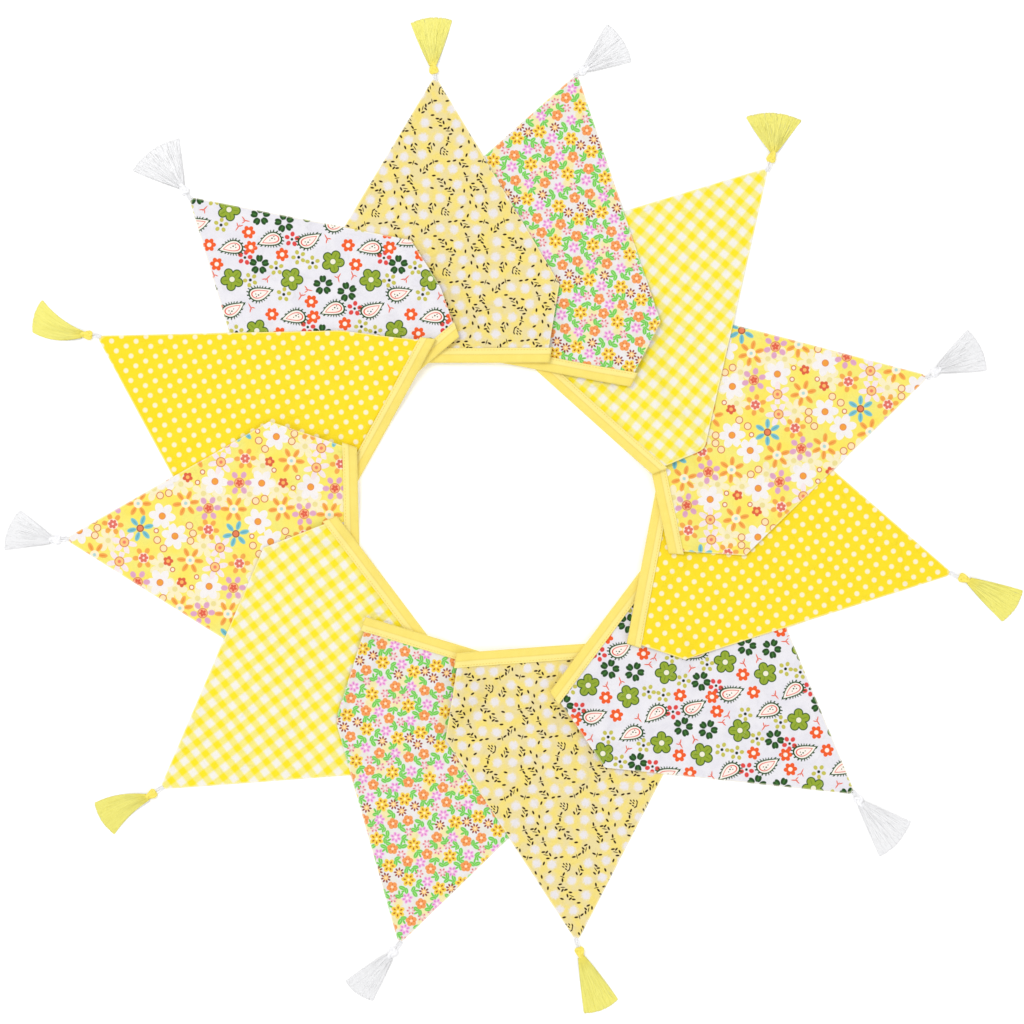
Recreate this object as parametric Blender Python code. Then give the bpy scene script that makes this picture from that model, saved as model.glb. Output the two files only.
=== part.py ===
# Twelve cotton pennants on one folded binding tape, laid flat in a ring with every
# pennant over its clockwise neighbour, and a thread tassel at each point.
# Metres, +Z up, the whole rests on z = 0.
import math

import bmesh
import bpy
from mathutils import Vector

# Outlines are measured in the units of a square picture, 1024 wide, y downwards.
UNIT = 0.000876
MID_X = 512.5
MID_Y = 515.0

CLOTH = 0.0010        # two layers of turned cotton
LEAF = 0.0010         # each leaf of the folded tape
RETURN = 0.0010       # the tape pressed flat where it runs back under a pennant
GAP = 0.00032         # air between layers
TAPE_WIDTH = 14.0     # in picture units
TAPE_LENGTH = 210.0   # in picture units, the top edge of one pennant
SIDE_LENGTH = 242.0   # in picture units, point to shoulder
CELL = 0.022          # side of one square of the grid that all layers are cut from
REACH = 0.032         # how far a layer stays lifted beyond the edge it lies on
FALL = 0.026          # the width over which it then comes down
INSET = 0.0013        # cloth edge to the tape's fold
FOLD = 0.0008         # thickness of the tape's fold, inside its edge
BULGE = 0.0005        # how far the fold stands out past the edge
COUNTED = 25          # layers below a layer that lift it, those of five pennants
TRIM_EDGE = 0.0003    # the long fold ends this far inside the corners of its run
TRIM_END = 0.0006     # the short folds end this far inside theirs
ROUND = 3.0           # corner rounding in picture units
POINT_ROUND = 4.0     # at a pennant's point
BOW_ROUND = 40.0      # at the middle of a side that bows

# name, print, point, a spot on the counter-clockwise long side, clockwise shoulder,
# inner clockwise end of the tape run, bow of the side between these two,
# direction of the run in degrees, shoulder rounding
PENNANTS = [
    ("01", "leaf_print", (435, 76), (346, 225), (559, 284), (546, 362.5), 0, 0.0, 3),
    ("02", "pink_floral", (577, 74), (512, 132), (660, 322), (627, 386), 0, 10.6, 3),
    ("03", "gingham", (768, 168), (626, 211), (704, 449), (650, 472), 0, 42.0, 9),
    ("04", "daisy_print", (929, 376), (737, 326), (745, 555), (668, 550), 0, 78.3, 3),
    ("05", "dot_print", (953, 574), (881, 512), (685, 659), (627.5, 640), 0, 100.9, 4),
    ("06", "paisley_print", (855, 794), (788, 633), (605, 767), (552, 689), 0, 127.0, 3),
    ("07", "leaf_print", (577, 942), (662, 776), (446, 739), (460, 653), 0, 176.0, 3),
    ("08", "pink_floral", (399, 944), (504, 842), (336, 720), (369, 618), 0, 197.0, 26),
    ("09", "gingham", (160, 789), (346, 775), (264, 548), (339, 519), 0, 233.0, 3),
    ("10", "daisy_print", (65, 539), (222, 637), (270, 422), (357, 451), 0, 269.0, 3),
    ("11", "dot_print", (97, 336), (170, 470), (340, 331), (434, 343), 0, 299.0, 3),
    ("12", "paisley_print", (189, 197), (229, 330), (411, 241), (458, 338), 6, 320.0, 3),
]

# A pennant that stands a little off the layers below it: name, middle, radius, height.
SWELLS = [
    ("02", (645, 330), 40, 0.0015),
    ("06", (700, 730), 60, 0.0012),
    ("08", (345, 715), 60, 0.0020),
    ("10", (285, 430), 48, 0.0035),
    ("11", (385, 335), 42, 0.0025),
]

# name, yarn, neck, first and last corner of the cut end going clockwise
TASSELS = [
    ("01", "yellow", (432.5, 64), (410.5, 23.5), (452, 20.5)),
    ("02", "white", (587.5, 67.5), (607, 24.3), (631, 62)),
    ("03", "yellow", (774, 150), (746, 117), (801.5, 120.5)),
    ("04", "white", (939.5, 368.5), (967.3, 330), (986.4, 370.4)),
    ("05", "yellow", (971, 581.5), (1022.6, 590.4), (1002, 621.5)),
    ("06", "white", (861.8, 805), (910.6, 821), (879.3, 856.3)),
    ("07", "yellow", (582, 959), (618, 999.2), (584, 1013)),
    ("08", "white", (388, 958), (373, 1000.5), (345.7, 981)),
    ("09", "yellow", (146, 798), (114.6, 834.2), (94.8, 802.6)),
    ("10", "white", (49, 540), (4.9, 550.2), (20.4, 510.2)),
    ("11", "yellow", (80.5, 334.5), (32.8, 332.7), (42.3, 300.2)),
    ("12", "white", (180, 184.5), (132.8, 171), (179.3, 138.5)),
]

LOCKS = 7             # locks of thread across one row of a tassel, two rows
HEAD_WIDE = 0.0088
HEAD_HIGH = 0.0052
HEAD_AT = 0.30        # of the way from the neck to the pennant's point
KNOT_AT = 0.68
KNOT_SHARE = 0.88     # of the head's width and height
NECK_WIDE = 0.0064
NECK_HIGH = 0.0034
NECK_FLOOR = 0.0006
LOOP_WIDE = 0.0036
LOOP_HIGH = 0.0012
LOOP_FLOOR = 0.0015   # the loop lies on the cloth of the pennant's point
LOOP_CLEAR = 0.0016   # the head ends this far short of the point
LOOP_ON = 0.0040      # the loop reaches this far onto the cloth
LOCK_HIGH = 0.0010
LOCK_SHARE = 0.78     # of the space for one lock, the rest is air
LOCK_KNEE = 0.34      # of a lock's length, where it has come down level
UPPER_SHORT = 0.0008  # the upper row of locks ends this far before the lower one
UPPER_SHIFT = 0.12    # of a lock's space, the upper row lies between the lower locks
ARC = 0.10            # bow of the cut ends, as a share of their width

COLOURS = {
    "leaf_print": (0.93, 0.82, 0.42, 1),
    "pink_floral": (0.95, 0.84, 0.74, 1),
    "gingham": (0.98, 0.88, 0.30, 1),
    "daisy_print": (0.96, 0.78, 0.25, 1),
    "dot_print": (0.98, 0.86, 0.08, 1),
    "paisley_print": (0.88, 0.87, 0.78, 1),
    "tape": (0.96, 0.84, 0.35, 1),
    "tassel_yellow": (0.93, 0.88, 0.35, 1),
    "tassel_white": (0.90, 0.90, 0.88, 1),
}


def at(spot):
    """A spot of the picture as a point on the floor."""
    return Vector(((spot[0] - MID_X) * UNIT, (MID_Y - spot[1]) * UNIT))


def heading(degrees):
    angle = math.radians(degrees)
    return Vector((math.cos(angle), -math.sin(angle)))


def material(name):
    found = bpy.data.materials.get(name)
    if found:
        return found
    made = bpy.data.materials.new(name)
    made.use_nodes = True
    shader = made.node_tree.nodes["Principled BSDF"]
    shader.inputs["Base Color"].default_value = COLOURS[name]
    shader.inputs["Roughness"].default_value = 0.9
    return made


def finish(name, bm, slot):
    bmesh.ops.recalc_face_normals(bm, faces=bm.faces)
    mesh = bpy.data.meshes.new(name)
    bm.to_mesh(mesh)
    bm.free()
    mesh.materials.append(material(slot))
    obj = bpy.data.objects.new(name, mesh)
    bpy.context.scene.collection.objects.link(obj)
    return obj


# All outlines are convex and go counter-clockwise seen from above.

def rounded(corners, radii):
    """The outline with each corner cut by a short arc of its own radius."""
    out = []
    count = len(corners)
    for i, corner in enumerate(corners):
        before = (corners[i - 1] - corner).normalized()
        after = (corners[(i + 1) % count] - corner).normalized()
        angle = before.angle(after)
        radius = radii[i]
        if radius <= 0 or angle > 3.05:
            out.append(corner)
            continue
        back = radius / math.tan(angle / 2)
        start = corner + before * back
        end = corner + after * back
        steps = 4 if radius > 0.01 else 2
        for k in range(steps + 1):
            t = k / steps
            out.append(start * (1 - t) ** 2 + corner * 2 * t * (1 - t) + end * t ** 2)
    return out


def moved_line(a, b, distance):
    """The line through a and b, moved to its right side by a distance."""
    along = (b - a).normalized()
    right = Vector((along.y, -along.x))
    return a + right * distance, b + right * distance


def crossing(line_1, line_2):
    p, q = line_1
    r, s = line_2
    d1 = q - p
    d2 = s - r
    t = ((r - p).cross(d2)) / d1.cross(d2)
    return p + d1 * t


def inside(outline, point):
    """Distance into a counter-clockwise convex outline, negative outside it."""
    deepest = 1e9
    nearest = 1e9
    count = len(outline)
    for i in range(count):
        a = outline[i]
        b = outline[(i + 1) % count]
        ab = b - a
        ap = point - a
        depth = ab.cross(ap) / ab.length
        deepest = min(deepest, depth)
        t = max(0.0, min(1.0, ap.dot(ab) / ab.length_squared))
        nearest = min(nearest, (ap - ab * t).length)
    return nearest if deepest >= 0 else -nearest


class Flag:
    """Floor outlines of one pennant's cloth and of its run of tape."""

    def __init__(self, row):
        name, slot, point, side, shoulder, tape_end, bow, degrees, turn = row
        self.name = name
        self.slot = slot
        tip = at(point)
        along = heading(degrees)
        far = (at(side) - tip).normalized()
        near_shoulder = at(shoulder)
        far_shoulder = tip + far * SIDE_LENGTH * UNIT
        inner_near = at(tape_end)
        inner_far = inner_near - along * TAPE_LENGTH * UNIT
        # the clockwise short side may bow outwards in its middle
        near_spot = near_shoulder
        if bow:
            near_spot = moved_line(inner_near, near_shoulder, bow * UNIT)[0]
            near_spot = near_spot + (near_shoulder - inner_near) / 2
        # clockwise side edge, tape edge and counter-clockwise side edge, outside on the right
        near_edge = (inner_near, near_spot)
        top_edge = (inner_far, inner_near)
        far_edge = (far_shoulder, inner_far)
        cloth_top = moved_line(*top_edge, -INSET)
        corner_near = crossing(cloth_top, near_edge)
        corner_far = crossing(cloth_top, far_edge)
        places = [tip, far_shoulder, corner_far, corner_near, near_spot, near_shoulder]
        turns = [POINT_ROUND * UNIT, ROUND * UNIT, 0, 0, BOW_ROUND * UNIT, turn * UNIT]
        if not bow:
            places.pop(4)
            turns.pop(4)
        corners = turned(places)
        radii = [turns[places.index(corner)] for corner in corners]
        self.cloth = rounded(corners, radii)
        self.tip = tip
        # the run of tape is wider than the cloth by one fold on three sides
        tape_near = moved_line(*near_edge, INSET)
        tape_far = moved_line(*far_edge, INSET)
        tape_top = top_edge
        tape_low = moved_line(*top_edge, -TAPE_WIDTH * UNIT)
        self.near_in = crossing(tape_top, tape_near)
        self.near_out = crossing(tape_low, tape_near)
        self.far_in = crossing(tape_top, tape_far)
        self.far_out = crossing(tape_low, tape_far)
        self.run = turned([self.near_in, self.near_out, self.far_out, self.far_in])


def turned(corners):
    """The same corners, counter-clockwise."""
    area = 0.0
    for i, corner in enumerate(corners):
        area += corners[i - 1].cross(corner)
    return corners if area > 0 else corners[::-1]


def bar(a, b, inner, outer, trim):
    """A narrow strip along a-b, reaching past it by outer and inside it by inner."""
    along = (b - a).normalized()
    side = Vector((along.y, -along.x))
    a = a + along * trim
    b = b - along * trim
    return turned([a + side * outer, b + side * outer, b - side * inner, a - side * inner])


class Stack:
    """Heights of all layers at the corners of one grid, straight between corners."""

    def __init__(self, flags):
        self.flags = flags
        self.layers = []
        for i, flag in enumerate(flags):
            after = flags[(i + 1) % len(flags)]
            back = [flag.near_in, flag.near_out, after.far_out, after.far_in]
            self.layers.append(("upper", flag.name, flag.run, LEAF))
            self.layers.append(("cloth", flag.name, flag.cloth, CLOTH))
            self.layers.append(("lower", flag.name, flag.run, LEAF))
            self.layers.append(("swell", flag.name, None, 0))
            if i < len(flags) - 1:
                self.layers.append(("back", flag.name, turned(back), RETURN))
            else:
                self.layers.append(("back", flag.name, None, 0))
        self.swells = {row[0]: row for row in SWELLS}
        self.cover = {}
        self.height = {}

    def lift(self, index, ix, iy):
        """How much one layer raises those above it at one corner of the grid."""
        key = (index, ix, iy)
        if key not in self.cover:
            kind, name, outline, thickness = self.layers[index]
            point = Vector((ix * CELL, iy * CELL))
            value = 0.0
            if kind == "swell" and name in self.swells:
                _, middle, radius, height = self.swells[name]
                far = (point - at(middle)).length / (radius * UNIT)
                value = height * math.exp(-far * far)
            elif outline:
                t = (inside(outline, point) + REACH + FALL) / FALL
                t = max(0.0, min(1.0, t))
                value = (thickness + GAP) * t * t * (3 - 2 * t)
            self.cover[key] = value
        return self.cover[key]

    def base(self, index, ix, iy):
        key = (index, ix, iy)
        if key not in self.height:
            below = 0.0
            for step in range(1, COUNTED + 1):
                below += self.lift((index + step) % len(self.layers), ix, iy)
            self.height[key] = below
        return self.height[key]

    def find(self, kind, name):
        for index, layer in enumerate(self.layers):
            if layer[0] == kind and layer[1] == name:
                return index
        return None

    def underside(self, index, x, y):
        """Underside of a layer anywhere, from the grid triangle that holds the place."""
        gx = x / CELL
        gy = y / CELL
        ix = math.floor(gx + 1e-9)
        iy = math.floor(gy + 1e-9)
        fx = gx - ix
        fy = gy - iy
        low = self.base(index, ix, iy)
        high = self.base(index, ix + 1, iy + 1)
        if fx >= fy:
            side = self.base(index, ix + 1, iy)
            return low + (side - low) * fx + (high - side) * fy
        side = self.base(index, ix, iy + 1)
        return low + (side - low) * fy + (high - side) * fx


def cut_grid(outline):
    """The flat triangle grid trimmed to a convex outline."""
    xs = [p.x for p in outline]
    ys = [p.y for p in outline]
    x0 = math.floor(min(xs) / CELL)
    x1 = math.ceil(max(xs) / CELL)
    y0 = math.floor(min(ys) / CELL)
    y1 = math.ceil(max(ys) / CELL)
    bm = bmesh.new()
    bmesh.ops.create_grid(bm, x_segments=x1 - x0, y_segments=y1 - y0, size=0.5)
    for vert in bm.verts:
        gx = x0 + round((vert.co.x + 0.5) * (x1 - x0))
        gy = y0 + round((vert.co.y + 0.5) * (y1 - y0))
        vert.co = (gx * CELL, gy * CELL, 0)
    for face in list(bm.faces):
        low = min(face.verts, key=lambda v: v.co.x + v.co.y)
        high = max(face.verts, key=lambda v: v.co.x + v.co.y)
        bmesh.utils.face_split(face, low, high)
    count = len(outline)
    for i in range(count):
        a = outline[i]
        b = outline[(i + 1) % count]
        along = (b - a).normalized()
        out = Vector((along.y, -along.x, 0))
        parts = list(bm.verts) + list(bm.edges) + list(bm.faces)
        bmesh.ops.bisect_plane(bm, geom=parts, dist=1e-7, plane_co=(a.x, a.y, 0),
                               plane_no=out, clear_outer=True)
    bmesh.ops.remove_doubles(bm, verts=bm.verts, dist=2e-5)
    return bm


def slab(outline, low, high):
    """A solid over an outline, from the height low(x, y) to the height high(x, y)."""
    bm = cut_grid(outline)
    made = bmesh.ops.extrude_face_region(bm, geom=list(bm.faces))
    top = {e for e in made["geom"] if isinstance(e, bmesh.types.BMVert)}
    for vert in bm.verts:
        rule = high if vert in top else low
        vert.co.z = rule(vert.co.x, vert.co.y)
    # triangles that lie in one plane are joined
    bmesh.ops.recalc_face_normals(bm, faces=bm.faces)
    bmesh.ops.dissolve_limit(bm, angle_limit=0.0015, use_dissolve_boundaries=False,
                             verts=bm.verts, edges=bm.edges)
    return bm


def tape_parts(stack):
    """Leaves, folds and returns of the one tape, overlapping where they join."""
    parts = []
    half = LEAF / 2
    flags = stack.flags
    for i, flag in enumerate(flags):
        upper = stack.find("upper", flag.name)
        lower = stack.find("lower", flag.name)

        def bottom(x, y, rise=0.0, index=lower):
            return stack.underside(index, x, y) + rise

        def top(x, y, rise=0.0, index=upper):
            return stack.underside(index, x, y) + rise

        def middle_low(x, y, rule=bottom):
            return rule(x, y, half)

        def middle_high(x, y, rule=top):
            return rule(x, y, half)

        parts.append(slab(flag.run, top, lambda x, y, rule=top: rule(x, y, LEAF)))
        parts.append(slab(flag.run, bottom, lambda x, y, rule=bottom: rule(x, y, LEAF)))
        edge = bar(flag.far_in, flag.near_in, FOLD, BULGE, TRIM_EDGE)
        if inside(flag.run, (edge[0] + edge[2]) / 2) < 0:
            edge = bar(flag.near_in, flag.far_in, FOLD, BULGE, TRIM_EDGE)
        parts.append(slab(edge, middle_low, middle_high))
        if i == len(flags) - 1:
            continue
        after = flags[i + 1]
        back = stack.find("back", flag.name)
        outline = stack.layers[back][2]
        after_low = stack.find("lower", after.name)

        def back_low(x, y, index=back):
            return stack.underside(index, x, y)

        parts.append(slab(outline, back_low,
                          lambda x, y, rule=back_low: rule(x, y) + RETURN))
        near = bar(flag.near_in, flag.near_out, BULGE, FOLD, TRIM_END)
        if inside(flag.run, (near[0] + near[2]) / 2) < 0:
            near = bar(flag.near_in, flag.near_out, FOLD, BULGE, TRIM_END)
        parts.append(slab(near, lambda x, y, rule=back_low: rule(x, y) + RETURN / 2,
                          middle_high))
        far = bar(after.far_in, after.far_out, BULGE, FOLD, TRIM_END)
        if inside(after.run, (far[0] + far[2]) / 2) < 0:
            far = bar(after.far_in, after.far_out, FOLD, BULGE, TRIM_END)
        parts.append(slab(far,
                          lambda x, y, index=after_low: stack.underside(index, x, y) + half,
                          lambda x, y, rule=back_low: rule(x, y) + RETURN / 2))
    return parts


def binding_tape(stack):
    parts = tape_parts(stack)
    helpers = bpy.data.collections.new("tape_helpers")
    bpy.context.scene.collection.children.link(helpers)
    objects = []
    for k, bm in enumerate(parts):
        obj = finish("tape_piece_%02d" % k, bm, "tape")
        bpy.context.scene.collection.objects.unlink(obj)
        objects.append(obj)
    body = objects[0]
    bpy.context.scene.collection.objects.link(body)
    for obj in objects[1:]:
        helpers.objects.link(obj)
        obj.hide_render = True
    join = body.modifiers.new("join", "BOOLEAN")
    join.operation = "UNION"
    join.operand_type = "COLLECTION"
    join.collection = helpers
    join.solver = "EXACT"
    bpy.context.view_layer.update()
    graph = bpy.context.evaluated_depsgraph_get()
    mesh = bpy.data.meshes.new_from_object(body.evaluated_get(graph))
    for obj in objects:
        bpy.data.objects.remove(obj, do_unlink=True)
    bpy.data.collections.remove(helpers)
    mesh.name = "binding_tape"
    mesh.materials.clear()
    mesh.materials.append(material("tape"))
    tape = bpy.data.objects.new("binding_tape", mesh)
    bpy.context.scene.collection.objects.link(tape)
    return tape


def section_spot(section, angle):
    """A place on an oval section of a tassel's head: middle, across, size and floor."""
    middle, across, wide, high, floor = section
    spot = middle + across * math.cos(angle) * wide / 2
    return Vector((spot.x, spot.y, floor + high / 2 + math.sin(angle) * high / 2))


def section_angle(section, co):
    middle, across, wide, high, floor = section
    side = (Vector((co.x, co.y)) - middle).dot(across) / wide
    return math.atan2((co.z - floor - high / 2) / high, side)


def tassel(row, tip):
    """Thread loop on the pennant's point, knotted head and two rows of locks, one solid."""
    name, yarn, neck_spot, first, last = row
    neck = at(neck_spot)
    start = at(first)
    end = at(last)
    outward = ((start + end) / 2 - neck).normalized()
    inward = (tip - neck).normalized()
    span = (tip - neck).length
    across = Vector((-outward.y, outward.x))
    if (end - start).dot(across) < 0:
        across = -across
    head_across = Vector((-inward.y, inward.x))
    if head_across.dot(across) < 0:
        head_across = -head_across
    sections = [
        (neck, across, NECK_WIDE, NECK_HIGH, NECK_FLOOR),
        (neck + inward * span * HEAD_AT, (across + head_across).normalized(),
         HEAD_WIDE, HEAD_HIGH, 0.0),
        (neck + inward * span * KNOT_AT, head_across, HEAD_WIDE * KNOT_SHARE,
         HEAD_HIGH * KNOT_SHARE, 0.0),
        (neck + inward * (span - LOOP_CLEAR), head_across, LOOP_WIDE, LOOP_HIGH, LOOP_FLOOR),
        (neck + inward * (span + LOOP_ON), head_across, LOOP_WIDE * 0.7, LOOP_HIGH,
         LOOP_FLOOR),
    ]
    bm = bmesh.new()
    bmesh.ops.create_grid(bm, x_segments=LOCKS, y_segments=2, size=0.5)
    roots = sorted(bm.faces, key=lambda f: (f.calc_center_median().y,
                                            f.calc_center_median().x))
    for vert in bm.verts:
        spot = neck + across * vert.co.x * NECK_WIDE
        vert.co = (spot.x, spot.y, NECK_FLOOR + (vert.co.y + 0.5) * NECK_HIGH)
    edges = [e for e in bm.edges if e.is_boundary]
    for before, section in zip(sections, sections[1:]):
        made = bmesh.ops.extrude_edge_only(bm, edges=edges)["geom"]
        edges = [g for g in made if isinstance(g, bmesh.types.BMEdge)]
        for vert in (g for g in made if isinstance(g, bmesh.types.BMVert)):
            vert.co = section_spot(section, section_angle(before, vert.co))
    bmesh.ops.edgeloop_fill(bm, edges=edges)
    bmesh.ops.recalc_face_normals(bm, faces=bm.faces)
    length = ((start + end) / 2 - neck).length
    for k, root in enumerate(roots):
        column = k % LOCKS
        upper = k >= LOCKS
        shift = UPPER_SHIFT if upper else 0.0
        part = (column + 0.5 + shift) / (LOCKS + 2 * shift)
        target = start.lerp(end, part)
        # the cut ends lie on a shallow arc
        bow = 4 * part * (1 - part) * ARC * (end - start).length
        target = target + outward * (bow - (UPPER_SHORT if upper else 0.0))
        pitch = (end - start).length / LOCKS
        root_spot = neck + across * NECK_WIDE * ((column + 0.5) / LOCKS - 0.5)
        floor = LOCK_HIGH + GAP if upper else 0.0
        faces = [root]
        for share in (LOCK_KNEE, 1.0):
            made = bmesh.ops.extrude_discrete_faces(bm, faces=faces)["faces"]
            faces = made
            spot = root_spot.lerp(target, share)
            way = (target - root_spot).normalized()
            side = Vector((-way.y, way.x))
            if side.dot(across) < 0:
                side = -side
            root_pitch = NECK_WIDE / LOCKS
            wide = (root_pitch + (pitch - root_pitch) * share) * LOCK_SHARE
            corners = sorted(made[0].verts, key=lambda v: Vector(v.co[:2]).dot(across))
            for place, vert in enumerate(corners):
                reach = -0.5 if place < 2 else 0.5
                others = corners[:2] if place < 2 else corners[2:]
                low = vert == min(others, key=lambda v: v.co.z)
                vert.tag = low
                vert.co.x = spot.x + side.x * reach * wide
                vert.co.y = spot.y + side.y * reach * wide
            for vert in corners:
                vert.co.z = floor if vert.tag else floor + LOCK_HIGH
    return finish("tassel_" + name, bm, "tassel_" + yarn)


def main():
    for obj in list(bpy.data.objects):
        bpy.data.objects.remove(obj, do_unlink=True)
    flags = [Flag(row) for row in PENNANTS]
    stack = Stack(flags)
    for flag in flags:
        index = stack.find("cloth", flag.name)

        def under(x, y, layer=index):
            return stack.underside(layer, x, y)

        def over(x, y, layer=index):
            return stack.underside(layer, x, y) + CLOTH

        finish("pennant_" + flag.name, slab(flag.cloth, under, over), flag.slot)
    binding_tape(stack)
    for row, flag in zip(TASSELS, flags):
        tassel(row, flag.tip)
    # the middle of the whole is put over the origin
    solids = [obj for obj in bpy.data.objects if obj.type == "MESH"]
    xs = [v.co.x for obj in solids for v in obj.data.vertices]
    ys = [v.co.y for obj in solids for v in obj.data.vertices]
    middle = Vector(((min(xs) + max(xs)) / 2, (min(ys) + max(ys)) / 2, 0))
    for obj in solids:
        for vert in obj.data.vertices:
            vert.co -= middle


main()
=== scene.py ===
"""Twelve printed cotton pennants on one folded tape, laid in a ring, a tassel at each point."""
import math
import random
from collections import namedtuple

import bmesh
import bpy
import numpy as np
from mathutils import Matrix, Vector


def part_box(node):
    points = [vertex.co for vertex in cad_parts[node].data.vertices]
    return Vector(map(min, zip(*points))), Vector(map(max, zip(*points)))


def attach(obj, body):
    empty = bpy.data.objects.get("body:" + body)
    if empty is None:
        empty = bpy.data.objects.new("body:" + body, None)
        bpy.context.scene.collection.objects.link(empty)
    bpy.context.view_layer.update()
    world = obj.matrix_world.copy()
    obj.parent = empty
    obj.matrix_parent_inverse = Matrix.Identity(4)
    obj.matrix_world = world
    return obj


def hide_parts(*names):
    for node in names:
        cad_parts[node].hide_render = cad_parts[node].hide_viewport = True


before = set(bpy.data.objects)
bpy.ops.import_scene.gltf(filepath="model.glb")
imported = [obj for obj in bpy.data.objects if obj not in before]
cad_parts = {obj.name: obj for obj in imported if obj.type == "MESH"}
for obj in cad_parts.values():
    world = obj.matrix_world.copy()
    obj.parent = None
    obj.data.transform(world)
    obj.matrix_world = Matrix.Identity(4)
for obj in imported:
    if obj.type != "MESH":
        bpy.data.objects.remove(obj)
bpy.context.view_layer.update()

# Outlines are measured in the units of a square picture, 1024 wide, y downwards.
UNIT = 0.000876
PICTURE = 1024
MID_X = 512.5
MID_Y = 515.0

CLOTH = 0.0010        # thickness of a pennant, of a leaf of the tape, of the tape pressed flat
LEAF = 0.0010
RETURN = 0.0010
GAP = 0.00032         # between one layer and the next
TAPE_WIDTH = 14.0     # the folded tape, the run of it on one pennant and a pennant's long side,
TAPE_LENGTH = 210.0   # in picture units
SIDE_LENGTH = 242.0
INSET = 0.0013        # from the tape's fold to the pennant's edge, and past the pennant's sides
COUNTED = 25          # how many layers further down still lift a layer

CELL = 0.004          # side of one square of the grid that all layers are cut from
REACH = 0.006         # how far a layer stays lifted beyond the edge it lies on
FALL = 0.016          # the width over which it then comes down
FLOOR_HALF = 0.48     # half the width of the floor that the grid covers
MM = 1000             # millimetres in a metre
RIM = 0.0004          # how far a turned edge stands out in its middle
BILLOW = 0.0009       # how far the middle of a pennant puffs up
BILLOW_IN = 0.045     # from its edge to where the puff is full
WAVES_X = 90          # of the puff, in radians for a metre
WAVES_Y = 75
WAVE_SLANT = 25
WAVE_SHIFT_X = 2.1    # from one pennant to the next, in radians
WAVE_SHIFT_Y = 1.3
ROUND = 3.0           # radii of a pennant's corners in picture units
POINT_ROUND = 4.0
BOW_ROUND = 40.0
STRAIGHT = 3.05       # a corner wider than this angle stays as it is
BIG_ROUND = 0.01      # a corner with a larger radius than this gets more points
SHARP_CLOTH = 40      # edges sharper than this, in degrees, are shaded as edges
SHARP_TAPE = 50

# name, print, point, a spot on the counter-clockwise long side, clockwise shoulder,
# inner clockwise end of the tape run, bow of the side between these two,
# direction of the run in degrees, shoulder rounding
PENNANTS = [
    ("01", "leaf_print", (435, 76), (346, 225), (559, 284), (546, 362.5), 0, 0.0, 3),
    ("02", "pink_floral", (577, 74), (512, 132), (660, 322), (627, 386), 0, 10.6, 3),
    ("03", "gingham", (768, 168), (626, 211), (704, 449), (650, 472), 0, 42.0, 9),
    ("04", "daisy_print", (929, 376), (737, 326), (745, 555), (668, 550), 0, 78.3, 3),
    ("05", "dot_print", (953, 574), (881, 512), (685, 659), (627.5, 640), 0, 100.9, 4),
    ("06", "paisley_print", (855, 794), (788, 633), (605, 767), (552, 689), 0, 127.0, 3),
    ("07", "leaf_print", (577, 942), (662, 776), (446, 739), (460, 653), 0, 176.0, 3),
    ("08", "pink_floral", (399, 944), (504, 842), (336, 720), (369, 618), 0, 197.0, 26),
    ("09", "gingham", (160, 789), (346, 775), (264, 548), (339, 519), 0, 233.0, 3),
    ("10", "daisy_print", (65, 539), (222, 637), (270, 422), (357, 451), 0, 269.0, 3),
    ("11", "dot_print", (97, 336), (170, 470), (340, 331), (434, 343), 0, 299.0, 3),
    ("12", "paisley_print", (189, 197), (229, 330), (411, 241), (458, 338), 6, 320.0, 3),
]

# Where a pennant stands off the layers below it, and its soft creases, by pennant:
# middle, half length and half width in picture units, direction in degrees, height.
SWELLS = {
    "12": [((437, 292), 62, 26, 64, 0.0064), ((300, 280), 90, 16, 20, 0.0008),
           ((255, 250), 16, 60, 60, 0.0006)],
    "01": [((552, 330), 60, 24, 80, 0.0034), ((500, 190), 90, 20, 62, 0.0012),
           ((425, 250), 80, 12, 78, 0.0006)],
    "02": [((652, 335), 60, 34, 115, 0.0052), ((612, 230), 90, 18, 73, 0.0014),
           ((575, 300), 60, 10, 75, 0.0006)],
    "03": [((722, 300), 110, 34, 100, 0.0014), ((700, 440), 34, 30, 160, 0.0014),
           ((640, 300), 70, 9, 84, 0.0005)],
    "04": [((752, 548), 60, 26, 150, 0.0022), ((812, 400), 90, 26, 15, 0.0010),
           ((720, 470), 60, 10, 40, 0.0006)],
    "05": [((690, 655), 60, 26, 12, 0.0018), ((888, 560), 50, 12, 62, 0.0007),
           ((770, 600), 90, 18, 8, 0.0007), ((820, 580), 50, 9, 130, 0.0004)],
    "06": [((585, 735), 56, 30, 52, 0.0050), ((700, 700), 90, 20, 30, 0.0009),
           ((760, 760), 60, 12, 65, 0.0006)],
    "07": [((448, 700), 62, 24, 102, 0.0060), ((500, 800), 80, 22, 60, 0.0012),
           ((560, 840), 70, 12, 95, 0.0006)],
    "08": [((345, 672), 60, 40, 100, 0.0018), ((420, 780), 90, 20, 72, 0.0010),
           ((400, 700), 60, 10, 95, 0.0005)],
    "09": [((290, 560), 44, 28, 155, 0.0020), ((262, 680), 110, 26, 118, 0.0011),
           ((215, 745), 70, 12, 40, 0.0006)],
    "10": [((300, 430), 62, 30, 14, 0.0052), ((190, 520), 90, 24, 8, 0.0010),
           ((250, 500), 60, 10, 30, 0.0006)],
    "11": [((385, 335), 60, 26, 4, 0.0030), ((200, 390), 62, 15, 58, 0.0014),
           ((300, 390), 60, 14, 30, 0.0010), ((350, 400), 44, 9, 65, 0.0007)],
}

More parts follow.
